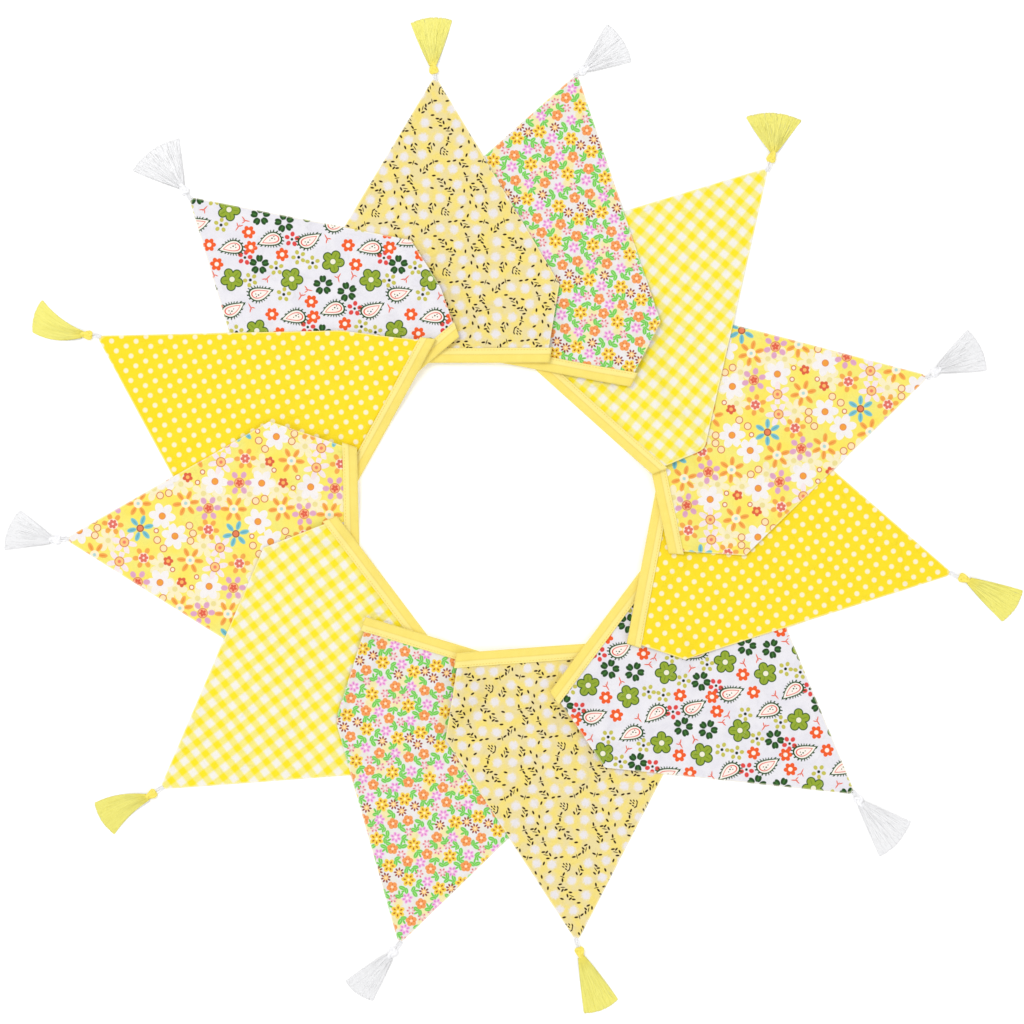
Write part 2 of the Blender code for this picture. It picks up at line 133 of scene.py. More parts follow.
# name, yarn, neck, first and last corner of the cut end going clockwise,
# sideways curve of the threads in picture units
TASSELS = [
    ("01", "yellow", (432.5, 64), (410.5, 23.5), (452, 20.5), 0),
    ("02", "white", (587.5, 67.5), (607, 24.3), (631, 62), 0),
    ("03", "yellow", (774, 150), (746, 117), (801.5, 120.5), 0),
    ("04", "white", (939.5, 368.5), (967.3, 330), (986.4, 370.4), 0),
    ("05", "yellow", (971, 581.5), (1022.6, 590.4), (1002, 621.5), 0),
    ("06", "white", (861.8, 805), (910.6, 821), (879.3, 856.3), 0),
    ("07", "yellow", (582, 959), (618, 999.2), (584, 1013), 0),
    ("08", "white", (388, 958), (373, 1000.5), (345.7, 981), 0),
    ("09", "yellow", (146, 798), (114.6, 834.2), (94.8, 802.6), 3),
    ("10", "white", (49, 540), (4.9, 550.2), (20.4, 510.2), 0),
    ("11", "yellow", (80.5, 334.5), (32.8, 332.7), (42.3, 300.2), -4),
    ("12", "white", (180, 184.5), (132.8, 171), (179.3, 138.5), 0),
]

NECK_WIDE = 0.0062    # the bundle of threads where a fan begins
NECK_HIGH = 0.0030
FAN_HIGH = 0.0014
FAN_BOW = 0.1         # how far the cut end bulges, of its width
LOCKS = 9.0
CLUMP = 0.10          # how far the threads of a lock draw together
FAN_SEED = 17
THREADS = 400
THREAD = 0.00026      # radius of one thread
KNOT_SIZE = 0.0042    # half the width of a tassel's knot
KNOT_YARN = 0.0016    # radius of the twisted bundle in it
KNOT_MIDDLE = KNOT_YARN * 0.95 + 0.0009
KNOT_RISE = 0.0008    # how far the bundle rises and falls where it crosses itself
KNOT_WIDE = 0.66      # of the knot's size, sideways and along the tassel
KNOT_LONG = 1.10
KNOT_POINTS = 84
KNOT_SIDES = 12
LOOP_YARN = 0.00045
LOOPS = ((-0.25, 0.0011), (0.3, 0.0015))   # each one's lean to the side and half width
LOOP_POINTS = 40
LOOP_SIDES = 8
LOOP_LOW = 0.0022     # height of the loops at the knot
LOOP_ON = 0.0035      # how far they reach onto the cloth
SEWN_AT = 0.12        # where the fan, the knot and the loops start, from neck to point
KNOT_AT = 0.42
LOOP_AT = 0.55

STITCH = 0.0019
STITCH_PITCH = 0.0027
STITCH_RISE = 0.00012
SEAM_PARTS = 60       # parts into which a run is divided to draw its seam
STITCH_IN = 0.86      # of the tape's width, from the fold
HEM_IN = 5.2          # where the turned-in hem ends, on the tape's coordinate across


# Outlines, the same as those of the solids


def at(spot):
    """A spot of the picture as a point on the floor."""
    return Vector(((spot[0] - MID_X) * UNIT, (MID_Y - spot[1]) * UNIT))


def heading(degrees):
    angle = math.radians(degrees)
    return Vector((math.cos(angle), -math.sin(angle)))


def rounded(corners, radii):
    """The outline with each corner cut by a short arc of its own radius."""
    out = []
    count = len(corners)
    for i, corner in enumerate(corners):
        before = (corners[i - 1] - corner).normalized()
        after = (corners[(i + 1) % count] - corner).normalized()
        angle = before.angle(after)
        radius = radii[i]
        if radius <= 0 or angle > STRAIGHT:
            out.append(corner)
            continue
        back = radius / math.tan(angle / 2)
        start = corner + before * back
        end = corner + after * back
        steps = 4 if radius > BIG_ROUND else 2
        for k in range(steps + 1):
            t = k / steps
            out.append(start * (1 - t) ** 2 + corner * 2 * t * (1 - t) + end * t ** 2)
    return out


def moved_line(a, b, distance):
    """The line through a and b, moved to its right side by a distance."""
    along = (b - a).normalized()
    right = Vector((along.y, -along.x))
    return a + right * distance, b + right * distance


def crossing(line_1, line_2):
    p, q = line_1
    r, s = line_2
    d1 = q - p
    d2 = s - r
    t = ((r - p).cross(d2)) / d1.cross(d2)
    return p + d1 * t


def signed_area(outline):
    return sum(outline[i - 1].cross(corner) for i, corner in enumerate(outline)) / 2


def turned(corners):
    """The same corners, counter-clockwise."""
    return corners if signed_area(corners) > 0 else corners[::-1]


class Flag:
    """Floor outlines of one pennant's cloth and of its run of tape."""

    def __init__(self, row):
        name, slot, point, side, shoulder, tape_end, bow, degrees, turn = row
        self.name = name
        self.slot = slot
        tip = at(point)
        along = heading(degrees)
        far = (at(side) - tip).normalized()
        near_shoulder = at(shoulder)
        far_shoulder = tip + far * SIDE_LENGTH * UNIT
        inner_near = at(tape_end)
        inner_far = inner_near - along * TAPE_LENGTH * UNIT
        near_spot = near_shoulder
        if bow:
            near_spot = moved_line(inner_near, near_shoulder, bow * UNIT)[0]
            near_spot = near_spot + (near_shoulder - inner_near) / 2
        near_edge = (inner_near, near_spot)
        top_edge = (inner_far, inner_near)
        far_edge = (far_shoulder, inner_far)
        cloth_top = moved_line(*top_edge, -INSET)
        corner_near = crossing(cloth_top, near_edge)
        corner_far = crossing(cloth_top, far_edge)
        places = [tip, far_shoulder, corner_far, corner_near, near_spot, near_shoulder]
        turns = [POINT_ROUND * UNIT, ROUND * UNIT, 0, 0, BOW_ROUND * UNIT, turn * UNIT]
        if not bow:
            places.pop(4)
            turns.pop(4)
        corners = turned(places)
        radii = [turns[places.index(corner)] for corner in corners]
        self.cloth = rounded(corners, radii)
        self.tip = tip
        self.along = ((inner_far + inner_near) / 2 - tip).normalized()
        tape_near = moved_line(*near_edge, INSET)
        tape_far = moved_line(*far_edge, INSET)
        tape_low = moved_line(*top_edge, -TAPE_WIDTH * UNIT)
        self.near_in = crossing(top_edge, tape_near)
        self.near_out = crossing(tape_low, tape_near)
        self.far_in = crossing(top_edge, tape_far)
        self.far_out = crossing(tape_low, tape_far)
        self.run = turned([self.near_in, self.near_out, self.far_out, self.far_in])

    def on_cloth(self, x, y):
        """A place on the floor as millimetres across and along the pennant."""
        offset = Vector((x, y)) - self.tip
        across = Vector((self.along.y, -self.along.x))
        return offset.dot(across) * MM, offset.dot(self.along) * MM

    def flat_size(self):
        """Width and length of the cloth, laid flat."""
        spots = [self.on_cloth(p.x, p.y) for p in self.cloth]
        return tuple((max(side) - min(side)) / MM for side in zip(*spots))


def depth_inside(outline, x, y):
    """Distance into a counter-clockwise convex outline, negative outside it."""
    deepest = np.full(np.shape(x), np.inf)
    nearest = np.full(np.shape(x), np.inf)
    for a, b in zip(outline, outline[1:] + outline[:1]):
        ex, ey = b.x - a.x, b.y - a.y
        length = math.hypot(ex, ey)
        px, py = x - a.x, y - a.y
        deepest = np.minimum(deepest, (ex * py - ey * px) / length)
        t = np.clip((px * ex + py * ey) / length ** 2, 0, 1)
        nearest = np.minimum(nearest, np.hypot(px - ex * t, py - ey * t))
    return np.where(deepest >= 0, nearest, -nearest)


def smooth(t):
    t = np.clip(t, 0, 1)
    return t * t * (3 - 2 * t)


def swell(flag, index, x, y):
    """Raised shoulders, creases and the soft billow of one pennant."""
    deep = depth_inside(flag.cloth, x, y)
    waves = 1 + (np.sin(x * WAVES_X + index * WAVE_SHIFT_X)
                 * np.sin(y * WAVES_Y + index * WAVE_SHIFT_Y + x * WAVE_SLANT))
    height = BILLOW * 0.5 * waves * smooth(deep / BILLOW_IN)
    for middle, long_half, short_half, degrees, high in SWELLS[flag.name]:
        spot = at(middle)
        way = heading(degrees)
        u = ((x - spot.x) * way.x + (y - spot.y) * way.y) / (long_half * UNIT)
        v = ((y - spot.y) * way.x - (x - spot.x) * way.y) / (short_half * UNIT)
        height = height + high * np.exp(-u * u - v * v)
    return height


class Stack:
    """Heights of all layers on one grid: each layer lies on everything below it."""

    def __init__(self, flags):
        self.keys = []
        self.half = round(FLOOR_HALF / CELL)
        axis = np.arange(-self.half, self.half + 1) * CELL
        x, y = np.meshgrid(axis, axis, indexing="ij")
        lifts = []
        for i, flag in enumerate(flags):
            after = flags[(i + 1) % len(flags)]
            back = turned([flag.near_in, flag.near_out, after.far_out, after.far_in])
            last = i == len(flags) - 1
            for kind, outline, thick in (("upper", flag.run, LEAF), ("cloth", flag.cloth, CLOTH),
                                         ("lower", flag.run, LEAF), ("swell", None, 0),
                                         ("back", None if last else back, RETURN)):
                self.keys.append((kind, flag.name))
                if kind == "swell":
                    lifts.append(swell(flag, i, x, y))
                elif outline:
                    t = (depth_inside(outline, x, y) + REACH + FALL) / FALL
                    lifts.append((thick + GAP) * smooth(t))
                else:
                    lifts.append(np.zeros_like(x))
        lifts = np.array(lifts)
        self.base = np.zeros_like(lifts)
        for step in range(1, COUNTED + 1):
            self.base += np.roll(lifts, -step, axis=0)

    def under(self, kind, name, x, y):
        """Underside of a layer at any places, from the grid triangle that holds each."""
        base = self.base[self.keys.index((kind, name))]
        gx = np.asarray(x) / CELL + self.half
        gy = np.asarray(y) / CELL + self.half
        ix = np.floor(gx + 1e-6).astype(int)
        iy = np.floor(gy + 1e-6).astype(int)
        fx = gx - ix
        fy = gy - iy
        low = base[ix, iy]
        high = base[ix + 1, iy + 1]
        right = base[ix + 1, iy]
        left = base[ix, iy + 1]
        return np.where(fx >= fy, low + (right - low) * fx + (high - right) * fy,
                        low + (left - low) * fy + (high - left) * fx)


def cut_grid(outline):
    """The flat triangle grid trimmed to a convex outline."""
    xs = [p.x for p in outline]
    ys = [p.y for p in outline]
    x0 = math.floor(min(xs) / CELL)
    x1 = math.ceil(max(xs) / CELL)
    y0 = math.floor(min(ys) / CELL)
    y1 = math.ceil(max(ys) / CELL)
    bm = bmesh.new()
    bmesh.ops.create_grid(bm, x_segments=x1 - x0, y_segments=y1 - y0, size=0.5)
    for vert in bm.verts:
        gx = x0 + round((vert.co.x + 0.5) * (x1 - x0))
        gy = y0 + round((vert.co.y + 0.5) * (y1 - y0))
        vert.co = (gx * CELL, gy * CELL, 0)
    for face in list(bm.faces):
        low = min(face.verts, key=lambda v: v.co.x + v.co.y)
        high = max(face.verts, key=lambda v: v.co.x + v.co.y)
        bmesh.utils.face_split(face, low, high)
    for a, b in zip(outline, outline[1:] + outline[:1]):
        along = (b - a).normalized()
        out = Vector((along.y, -along.x, 0))
        parts = list(bm.verts) + list(bm.edges) + list(bm.faces)
        bmesh.ops.bisect_plane(bm, geom=parts, dist=1e-7, plane_co=(a.x, a.y, 0),
                               plane_no=out, clear_outer=True)
    bmesh.ops.remove_doubles(bm, verts=bm.verts, dist=2e-5)
    return bm


def linked(name, data):
    """A new object of the scene."""
    obj = bpy.data.objects.new(name, data)
    bpy.context.scene.collection.objects.link(obj)
    return obj


def piece(name, mesh, material):
    """A finished mesh as an object at the origin, with its place in the mesh."""
    mesh.name = name
    mesh.materials.clear()
    mesh.materials.append(material)
    return linked(name, mesh)


def closed_mesh(name, bm, sharp=None):
    """A closed shape as a mesh, faces outwards, smooth except at edges sharper than an angle."""
    bmesh.ops.recalc_face_normals(bm, faces=bm.faces)
    mesh = bpy.data.meshes.new(name)
    bm.to_mesh(mesh)
    bm.free()
    mesh.shade_smooth()
    if sharp:
        mesh.set_sharp_from_angle(angle=math.radians(sharp))
    return mesh


def put_in_order(bm):
    """One fixed order of points and faces, which cutting and extruding leave to chance."""
    def key(spot):
        return spot.x * 1e6 + spot.y * 1e3 + spot.z
    bm.verts.sort(key=lambda vert: key(vert.co))
    bm.faces.sort(key=lambda face: key(face.calc_center_median()))


def skinned(bm, uv, rings, spot, around=False):
    """Faces between closed rings of vertices, with UVs worked out from ring and place."""
    count = len(rings[0])
    for r in range(len(rings) if around else len(rings) - 1):
        after = rings[(r + 1) % len(rings)]
        for k in range(count):
            n = (k + 1) % count
            face = bm.faces.new((rings[r][k], rings[r][n], after[n], after[k]))
            corners = ((r, k), (r, k + 1), (r + 1, k + 1), (r + 1, k))
            for loop, (ring, place) in zip(face.loops, corners):
                loop[uv].uv = spot(ring, place)


def pennant(flag, stack):
    """Two turned layers of cotton with a rounded edge, lying on what is below."""
    bm = cut_grid(flag.cloth)
    made = bmesh.ops.extrude_face_region(bm, geom=list(bm.faces))
    top = {e for e in made["geom"] if isinstance(e, bmesh.types.BMVert)}
    upright = [e for e in bm.edges if (e.verts[0] in top) != (e.verts[1] in top)]
    for vert in top:
        vert.co.z = 1
    bmesh.ops.subdivide_edges(bm, edges=upright, cuts=1)
    put_in_order(bm)
    co = np.array([v.co[:] for v in bm.verts])
    deep = depth_inside(flag.cloth, co[:, 0], co[:, 1])
    middle = sum(flag.cloth, Vector((0, 0))) / len(flag.cloth)
    base = stack.under("cloth", flag.name, co[:, 0], co[:, 1])
    uv = bm.loops.layers.uv.new("cloth")
    edge = bm.verts.layers.float.new("edge")
    spots = []
    for i, vert in enumerate(bm.verts):
        spots.append(flag.on_cloth(vert.co.x, vert.co.y))
        share = vert.co.z
        vert[edge] = max(0.0, deep[i]) * MM
        vert.co.z = base[i] + CLOTH * share
        if 0.25 < share < 0.75:
            away = (Vector(vert.co[:2]) - middle).normalized() * RIM
            vert.co.x += away.x
            vert.co.y += away.y
    bm.verts.index_update()
    for face in bm.faces:
        for loop in face.loops:
            loop[uv].uv = spots[loop.vert.index]
    return closed_mesh(flag.name, bm, SHARP_CLOTH)


# The folded tape: one strip with a U section, bent under at the end of every run

OUTER, INNER = 0, 1
BEND_STEPS = 7
SKIN = 0.00048        # half of a pressed return
RETURN_STEP = 0.008   # between the sections of a return
SECTION_STEP = 1.2    # between the points of a section, on the coordinate across
SHORTEST = 0.0006     # the least that a section counts for along the tape
FOLD_AT = 0.12        # of the width, where the fold's half round starts
FOLD_OUT = {OUTER: 0.0006, INNER: -0.0004}
CROWN = 0.00035       # how far the upper leaf rises between fold and stitches
DENT = 0.00025        # how far it is drawn down by the stitches, and at its edge
DENT_HALF = 0.03      # of the width, on either side of the stitches
LIP = 0.0003
LIP_FROM = 0.99
BEND_OUTER = {OUTER: 0.0018, INNER: 0.0010}   # how far a bend reaches out, by leaf and skin
BEND_INNER = {OUTER: 0.0002, INNER: 0.0009}


def tape_profile():
    """Points round the section: share of the width, or of the half turn, which leaf, which skin."""
    shares = (1.0, 0.97, 0.88, 0.82, 0.6, 0.4, 0.22)
    inside = (0.22, 0.6, 1.0)
    return ([(w, "upper", OUTER) for w in shares]
            + [(k / 6, "fold", OUTER) for k in range(7)]
            + [(w, "lower", OUTER) for w in reversed(shares)]
            + [(w, "lower", INNER) for w in reversed(inside)]
            + [(k / 4, "fold", INNER) for k in range(4, -1, -1)]
            + [(w, "upper", INNER) for w in inside])


class Column:
    """One section of the tape: two floor spots, and each skin's push and height."""

    def __init__(self, inner, outer, push, levels):
        self.inner = inner
        self.outer = outer
        self.push = push
        self.levels = levels

    def points(self, profile):
        wide = self.outer - self.inner
        across = wide.normalized()
        out = []
        for share, leaf, skin in profile:
            if leaf == "fold":
                turn = math.pi * share
                centre = self.inner + wide * FOLD_AT
                upper = self.levels("upper", skin, centre, FOLD_AT)
                lower = self.levels("lower", skin, centre, FOLD_AT)
                reach = FOLD_AT * wide.length + FOLD_OUT[skin]
                spot = centre - across * math.sin(turn) * reach
                z = (upper + lower) / 2 + (upper - lower) / 2 * math.cos(turn)
                spot = spot + self.push[("upper" if turn < math.pi / 2 else "lower", skin)]
            else:
                spot = self.inner + wide * share
                z = self.levels(leaf, skin, spot, share)
                spot = spot + self.push[(leaf, skin)]
            out.append((spot.x, spot.y, z))
        return out


NO_PUSH = {(leaf, skin): Vector((0, 0)) for leaf in ("upper", "lower") for skin in (OUTER, INNER)}


def run_levels(stack, flag):
    """Heights of the four skins where the tape holds a pennant's edge."""
    def levels(leaf, skin, spot, place):
        z = float(stack.under(leaf, flag.name, spot.x, spot.y))
        if leaf == "upper" and skin == OUTER:
            crown = CROWN * math.sin(math.pi * min(1.0, max(0.0, place / STITCH_IN)))
            dent = DENT if abs(place - STITCH_IN) < DENT_HALF else 0.0
            lip = LIP if place > LIP_FROM else 0.0
            return z + LEAF + crown - dent - lip
        if leaf == "lower" and skin == INNER:
            return z + LEAF
        return z
    return levels


def back_levels(stack, flag):
    """Heights of the four skins where the tape is pressed flat under a pennant."""
    steps = {("upper", OUTER): 0.0, ("upper", INNER): SKIN,
             ("lower", INNER): RETURN - SKIN, ("lower", OUTER): RETURN}

    def levels(leaf, skin, spot, place):
        return float(stack.under("back", flag.name, spot.x, spot.y)) + steps[(leaf, skin)]
    return levels


def bend(columns, inner, outer, way, first, second, outermost):
    """A half turn from one set of heights to another at the same floor line."""
    innermost = "lower" if outermost == "upper" else "upper"
    depth = {(leaf, skin): reach for leaf, reaches in ((outermost, BEND_OUTER),
                                                       (innermost, BEND_INNER))
             for skin, reach in reaches.items()}
    for k in range(1, BEND_STEPS):
        turn = math.pi * k / BEND_STEPS
        push = {key: way * value * math.sin(turn) for key, value in depth.items()}

        def levels(leaf, skin, spot, place, turn=turn):
            a = first(leaf, skin, spot, place)
            b = second(leaf, skin, spot, place)
            return (a + b) / 2 + (a - b) / 2 * math.cos(turn)
        columns.append(Column(inner, outer, push, levels))


def straight(columns, a_in, a_out, b_in, b_out, levels, step=CELL):
    count = max(2, round((b_in - a_in).length / step))
    for k in range(count + 1):
        t = k / count
        columns.append(Column(a_in.lerp(b_in, t), a_out.lerp(b_out, t), NO_PUSH, levels))


def binding_tape(flags, stack):
    """The whole tape as one swept strip, and the lines on which it is stitched."""
    columns = []
    seams = []
    for i, flag in enumerate(flags):
        way = (flag.near_in - flag.far_in).normalized()
        run = run_levels(stack, flag)
        straight(columns, flag.far_in, flag.far_out, flag.near_in, flag.near_out, run)
        seams.append(seam_line(flag, run))
        if i == len(flags) - 1:
            break
        after = flags[i + 1]
        back = back_levels(stack, flag)
        bend(columns, flag.near_in, flag.near_out, way, run, back, "upper")
        straight(columns, flag.near_in, flag.near_out, after.far_in, after.far_out, back,
                 RETURN_STEP)
        next_way = (after.near_in - after.far_in).normalized()
        bend(columns, after.far_in, after.far_out, -next_way, back,
             run_levels(stack, after), "lower")
    profile = tape_profile()
    bm = bmesh.new()
    uv = bm.loops.layers.uv.new("cloth")
    rings = []
    length = 0.0
    lengths = []
    before = None
    for column in columns:
        spots = column.points(profile)
        middle = (column.inner + column.outer) / 2
        if before is not None:
            length += max((middle - before).length, SHORTEST)
        before = middle
        lengths.append(length)
        rings.append([bm.verts.new(p) for p in spots])
    skinned(bm, uv, rings, lambda ring, place: (lengths[ring] * MM, place * SECTION_STEP))
    bm.faces.new(rings[0])
    bm.faces.new(rings[-1])
    return closed_mesh("binding_tape", bm, SHARP_TAPE), seams, length


def seam_line(flag, levels):
    """Points of one row of stitches on the upper leaf."""
    points = []
    for k in range(1, SEAM_PARTS):
        t = k / SEAM_PARTS
        inner = flag.far_in.lerp(flag.near_in, t)
        outer = flag.far_out.lerp(flag.near_out, t)
        spot = inner.lerp(outer, STITCH_IN)
        points.append((spot.x, spot.y, levels("upper", OUTER, spot, STITCH_IN) + STITCH_RISE))
    return points


# Node trees

FLOAT = "NodeSocketFloat"
VECTOR = "NodeSocketVector"
SHAPE = "NodeSocketGeometry"
BLACK = (0, 0, 0, 1)
HALF = (0.5, 0.5, 0.5)
FLAT = (1, 1, 0)


class Value:
    """One output of a node, a number or a vector, for plain sums."""

    def __init__(self, nodes, socket):
        self.nodes = nodes
        self.socket = socket

    def __add__(self, other):
        return self.nodes.sum("ADD", self, other)

    def __sub__(self, other):
        return self.nodes.sum("SUBTRACT", self, other)

    def __rsub__(self, other):
        return self.nodes.sum("SUBTRACT", other, self)

    def __mul__(self, other):
        return self.nodes.sum("MULTIPLY", self, other)

    def __truediv__(self, other):
        return self.nodes.sum("DIVIDE", self, other)

    def __rtruediv__(self, other):
        return self.nodes.sum("DIVIDE", other, self)


class Step:
    """One node: its outputs by name or number, its inputs by name."""

    def __init__(self, nodes, node):
        self.nodes = nodes
        self.node = node

    def __getitem__(self, key):
        return Value(self.nodes, self.node.outputs[key])

    def feed(self, **inputs):
        for key, value in inputs.items():
            self.nodes.feed(self.node.inputs[key.replace("_", " ")], value)


def is_vector(value):
    if isinstance(value, Value):
        return value.socket.type in ("VECTOR", "RGBA")
    return isinstance(value, tuple)


class Nodes:
    """Short words for building a node tree."""

    def __init__(self, tree):
        self.tree = tree

    def feed(self, socket, value):
        """Links a value, or the first output of a step, or sets a constant."""
        if isinstance(value, Step):
            value = value[0]
        if isinstance(value, Value):
            self.tree.links.new(value.socket, socket)
        else:
            socket.default_value = value

    def feed_in_order(self, step, values):
        for socket, value in zip(step.node.inputs, values):
            self.feed(socket, value)
        return step

    def add(self, kind, settings=None, **inputs):
        node = self.tree.nodes.new(kind)
        for key, value in (settings or {}).items():
            setattr(node, key, value)
        step = Step(self, node)
        step.feed(**inputs)
        return step

    def use(self, group, **inputs):
        return self.add("ShaderNodeGroup", {"node_tree": group}, **inputs)

    def math(self, operation, *values):
        step = self.add("ShaderNodeMath", {"operation": operation})
        return self.feed_in_order(step, values)[0]

    def vector(self, operation, *values):
        step = self.add("ShaderNodeVectorMath", {"operation": operation})
        self.feed_in_order(step, values)
        return step["Value" if operation == "LENGTH" else "Vector"]

    def sum(self, operation, first, second):
        """Plain arithmetic, on numbers, on vectors, or a vector times a number."""
        if not is_vector(first) and not is_vector(second):
            return self.math(operation, first, second)
        if operation == "MULTIPLY" and not is_vector(second):
            step = self.add("ShaderNodeVectorMath", {"operation": "SCALE"}, Scale=second)
            return self.feed_in_order(step, [first])["Vector"]
        return self.vector(operation, first, second)

    def lowest(self, values):
        level = values[0]
        for value in values[1:]:
            level = self.math("MINIMUM", level, value)
        return level

    def split(self, vector):
        step = self.add("ShaderNodeSeparateXYZ", Vector=vector)
        return step[0], step[1], step[2]

    def join(self, x, y, z=0.0):
        return self.add("ShaderNodeCombineXYZ", X=x, Y=y, Z=z)[0]

    def noise(self, place, scale, detail, **inputs):
        return self.add("ShaderNodeTexNoise", Vector=place, Scale=scale, Detail=detail, **inputs)

    def mix(self, kind, factor, a, b):
        """kind is FLOAT, VECTOR or RGBA, and each has sockets of its own on the node."""
        step = self.add("ShaderNodeMix", {"data_type": kind})
        first, out = {"FLOAT": (2, 0), "VECTOR": (4, 1), "RGBA": (6, 2)}[kind]
        for index, value in ((0, factor), (first, a), (first + 1, b)):
            self.feed(step.node.inputs[index], value)
        return step[out]

    def paint(self, ground, mask, tint):
        return self.mix("RGBA", mask, ground, tint)

    def under(self, level, limit=1.0, soft=0.12):
        """1 where the level is under the limit, with a soft edge."""
        return self.add("ShaderNodeMapRange", {"interpolation_type": "SMOOTHSTEP"}, Value=level,
                        From_Min=limit + soft, From_Max=limit - soft)[0]


def colour(red, green, blue):
    """A screen colour, 0 to 255, as the linear value that a shader takes."""
    def linear(value):
        value = value / 255
        return value / 12.92 if value <= 0.04045 else ((value + 0.055) / 1.055) ** 2.4
    return (linear(red), linear(green), linear(blue), 1)


def new_group(name, kind, inputs, outputs):
    """An empty node group, with the step that gives its inputs and the one for its outputs."""
    tree = bpy.data.node_groups.new(name, kind)
    for direction, rows in (("INPUT", inputs), ("OUTPUT", outputs)):
        for label, socket, *value in rows:
            made = tree.interface.new_socket(label, in_out=direction, socket_type=socket)
            if value:
                made.default_value = value[0]
    n = Nodes(tree)
    return n, n.add("NodeGroupInput"), n.add("NodeGroupOutput")


def nearest_motif_group():
    """Keeps whichever is nearer: the motif found so far or one more, on a repeat."""
    n, get, put = new_group(
        "nearest_motif", "ShaderNodeTree",
        [("Cloth", VECTOR), ("Spot", VECTOR), ("Half Repeat", VECTOR, (30, 30, 90)),
         ("Kept", VECTOR), ("Kept Distance", FLOAT, 99.0)],
        [("Kept", VECTOR), ("Distance", FLOAT)])
    half = get["Half Repeat"]
    wrapped = n.vector("WRAP", get["Cloth"] - get["Spot"], half, half * -1.0)
    distance = n.vector("LENGTH", wrapped * FLAT)
    nearer = n.math("LESS_THAN", distance, get["Kept Distance"])
    put.feed(Kept=n.mix("VECTOR", nearer, get["Kept"], wrapped),
             Distance=n.lowest([distance, get["Kept Distance"]]))
    return n.tree


def petals_group():
    """Level of a ring of oval petals round a motif, 1 on a petal's edge."""
    n, get, put = new_group(
        "petals", "ShaderNodeTree",
        [("Place", VECTOR), ("Count", FLOAT, 5.0), ("Reach", FLOAT, 3.0),
         ("Long", FLOAT, 2.0), ("Wide", FLOAT, 1.0), ("Turn", FLOAT, 0.0)],
        [("Level", FLOAT)])
    x, y, turn = n.split(get["Place"])
    sector = math.pi / get["Count"]
    angle = n.math("ARCTAN2", y, x) + turn + get["Turn"]
    folded = n.math("WRAP", angle, sector, sector * -1.0)
    radius = n.vector("LENGTH", n.join(x, y))
    out = radius * n.math("COSINE", folded) - get["Reach"]
    side = radius * n.math("SINE", folded)
    put.feed(Level=n.vector("LENGTH", n.join(out / get["Long"], side / get["Wide"])))
    return n.tree


def turned_place_group():
    """A motif's own coordinates, with its turn taken out."""
    n, get, put = new_group("turned_place", "ShaderNodeTree",
                            [("Place", VECTOR)], [("Place", VECTOR)])
    x, y, turn = n.split(get["Place"])
    put.feed(Place=n.add("ShaderNodeVectorRotate", {"rotation_type": "Z_AXIS"},
                         Vector=n.join(x, y), Angle=turn))
    return n.tree


def drop_group():
    """Level of a drop with its point at the back, 1 on its edge, and its ticks."""
    n, get, put = new_group(
        "drop", "ShaderNodeTree",
        [("Place", VECTOR), ("Long", FLOAT, 22.0), ("Wide", FLOAT, 10.0), ("Hook", FLOAT, 0.015)],
        [("Level", FLOAT), ("Ticks", FLOAT)])
    x, y, _ = n.split(get["Place"])
    y = y + x * x * get["Hook"]
    t = n.math("MAXIMUM", x / get["Long"] + 0.5, 0.0)
    # t times the root of 1 - t is a drop, widest at two thirds
    rest = n.math("MAXIMUM", 1.0 - t, 0.0)
    wide = t * n.math("SQRT", rest) * 1.3 * get["Wide"] + 0.02
    beyond = n.math("GREATER_THAN", n.math("ABSOLUTE", t - 0.5), 0.5) * 9.0
    angle = n.math("ARCTAN2", y, x - get["Long"] * 0.08)
    put.feed(Level=n.math("ABSOLUTE", y) / wide + beyond, Ticks=n.math("SINE", angle * 19.0))
    return n.tree


def weave_group():
    """Plain weave: height of the threads, and a faint painted shade between them."""
    n, get, put = new_group(
        "plain_weave", "ShaderNodeTree",
        [("Cloth", VECTOR), ("Pitch", FLOAT, 0.5), ("Unevenness", FLOAT, 0.3)],
        [("Height", FLOAT), ("Shade", FLOAT)])
    sway = (n.noise(get["Cloth"], 0.35, 3.0)["Color"] - HALF) * get["Unevenness"]
    threads = (get["Cloth"] + sway) / n.join(get["Pitch"], get["Pitch"], 1.0)
    x, y, _ = n.split(threads * math.pi)
    sin_x = n.math("SINE", x)
    sin_y = n.math("SINE", y)
    over = n.math("GREATER_THAN", sin_x * sin_y, 0.0)
    height = n.mix("FLOAT", over, n.math("ABSOLUTE", sin_x), n.math("ABSOLUTE", sin_y))
    # Shade is 1 on the threads' crowns and darker where they dip: painted shade
    put.feed(Height=height, Shade=1.0 - (1.0 - height) * 0.10)
    return n.tree


def turned_edge_group():
    """Along a pennant's edge: a painted highlight on its fold, the ridge where the allowance ends,
    and puckers.
    """
    n, get, put = new_group(
        "turned_edge", "ShaderNodeTree",
        [("Edge", FLOAT), ("Cloth", VECTOR), ("Fold", FLOAT, 0.7), ("Allowance", FLOAT, 5.0)],
        [("Fold", FLOAT), ("Ridge", FLOAT), ("Pucker", FLOAT), ("Wrinkle", FLOAT)])
    cloth = get["Cloth"]
    edge = get["Edge"]
    wander = (n.noise(cloth, 0.12, 2.0)["Fac"] - 0.5) * 3.0
    near = n.under(edge, 5.0, 5.0)
    # painted highlight along the fold, as wide as its input of the same name, in millimetres
    put.feed(Fold=n.under(edge - get["Fold"], 0.0, 0.35),
             Ridge=n.under(edge - get["Allowance"] + wander, 0.0, 0.8),
             Pucker=n.noise(cloth, 0.30, 3.0)["Fac"] * (near * 0.8 + 0.35),
             Wrinkle=n.noise(cloth, 0.055, 2.0, Distortion=0.8)["Fac"])
    return n.tree


NEAREST = nearest_motif_group()
PETALS = petals_group()
TURNED = turned_place_group()
DROP = drop_group()
WEAVE = weave_group()
EDGE = turned_edge_group()


# Prints

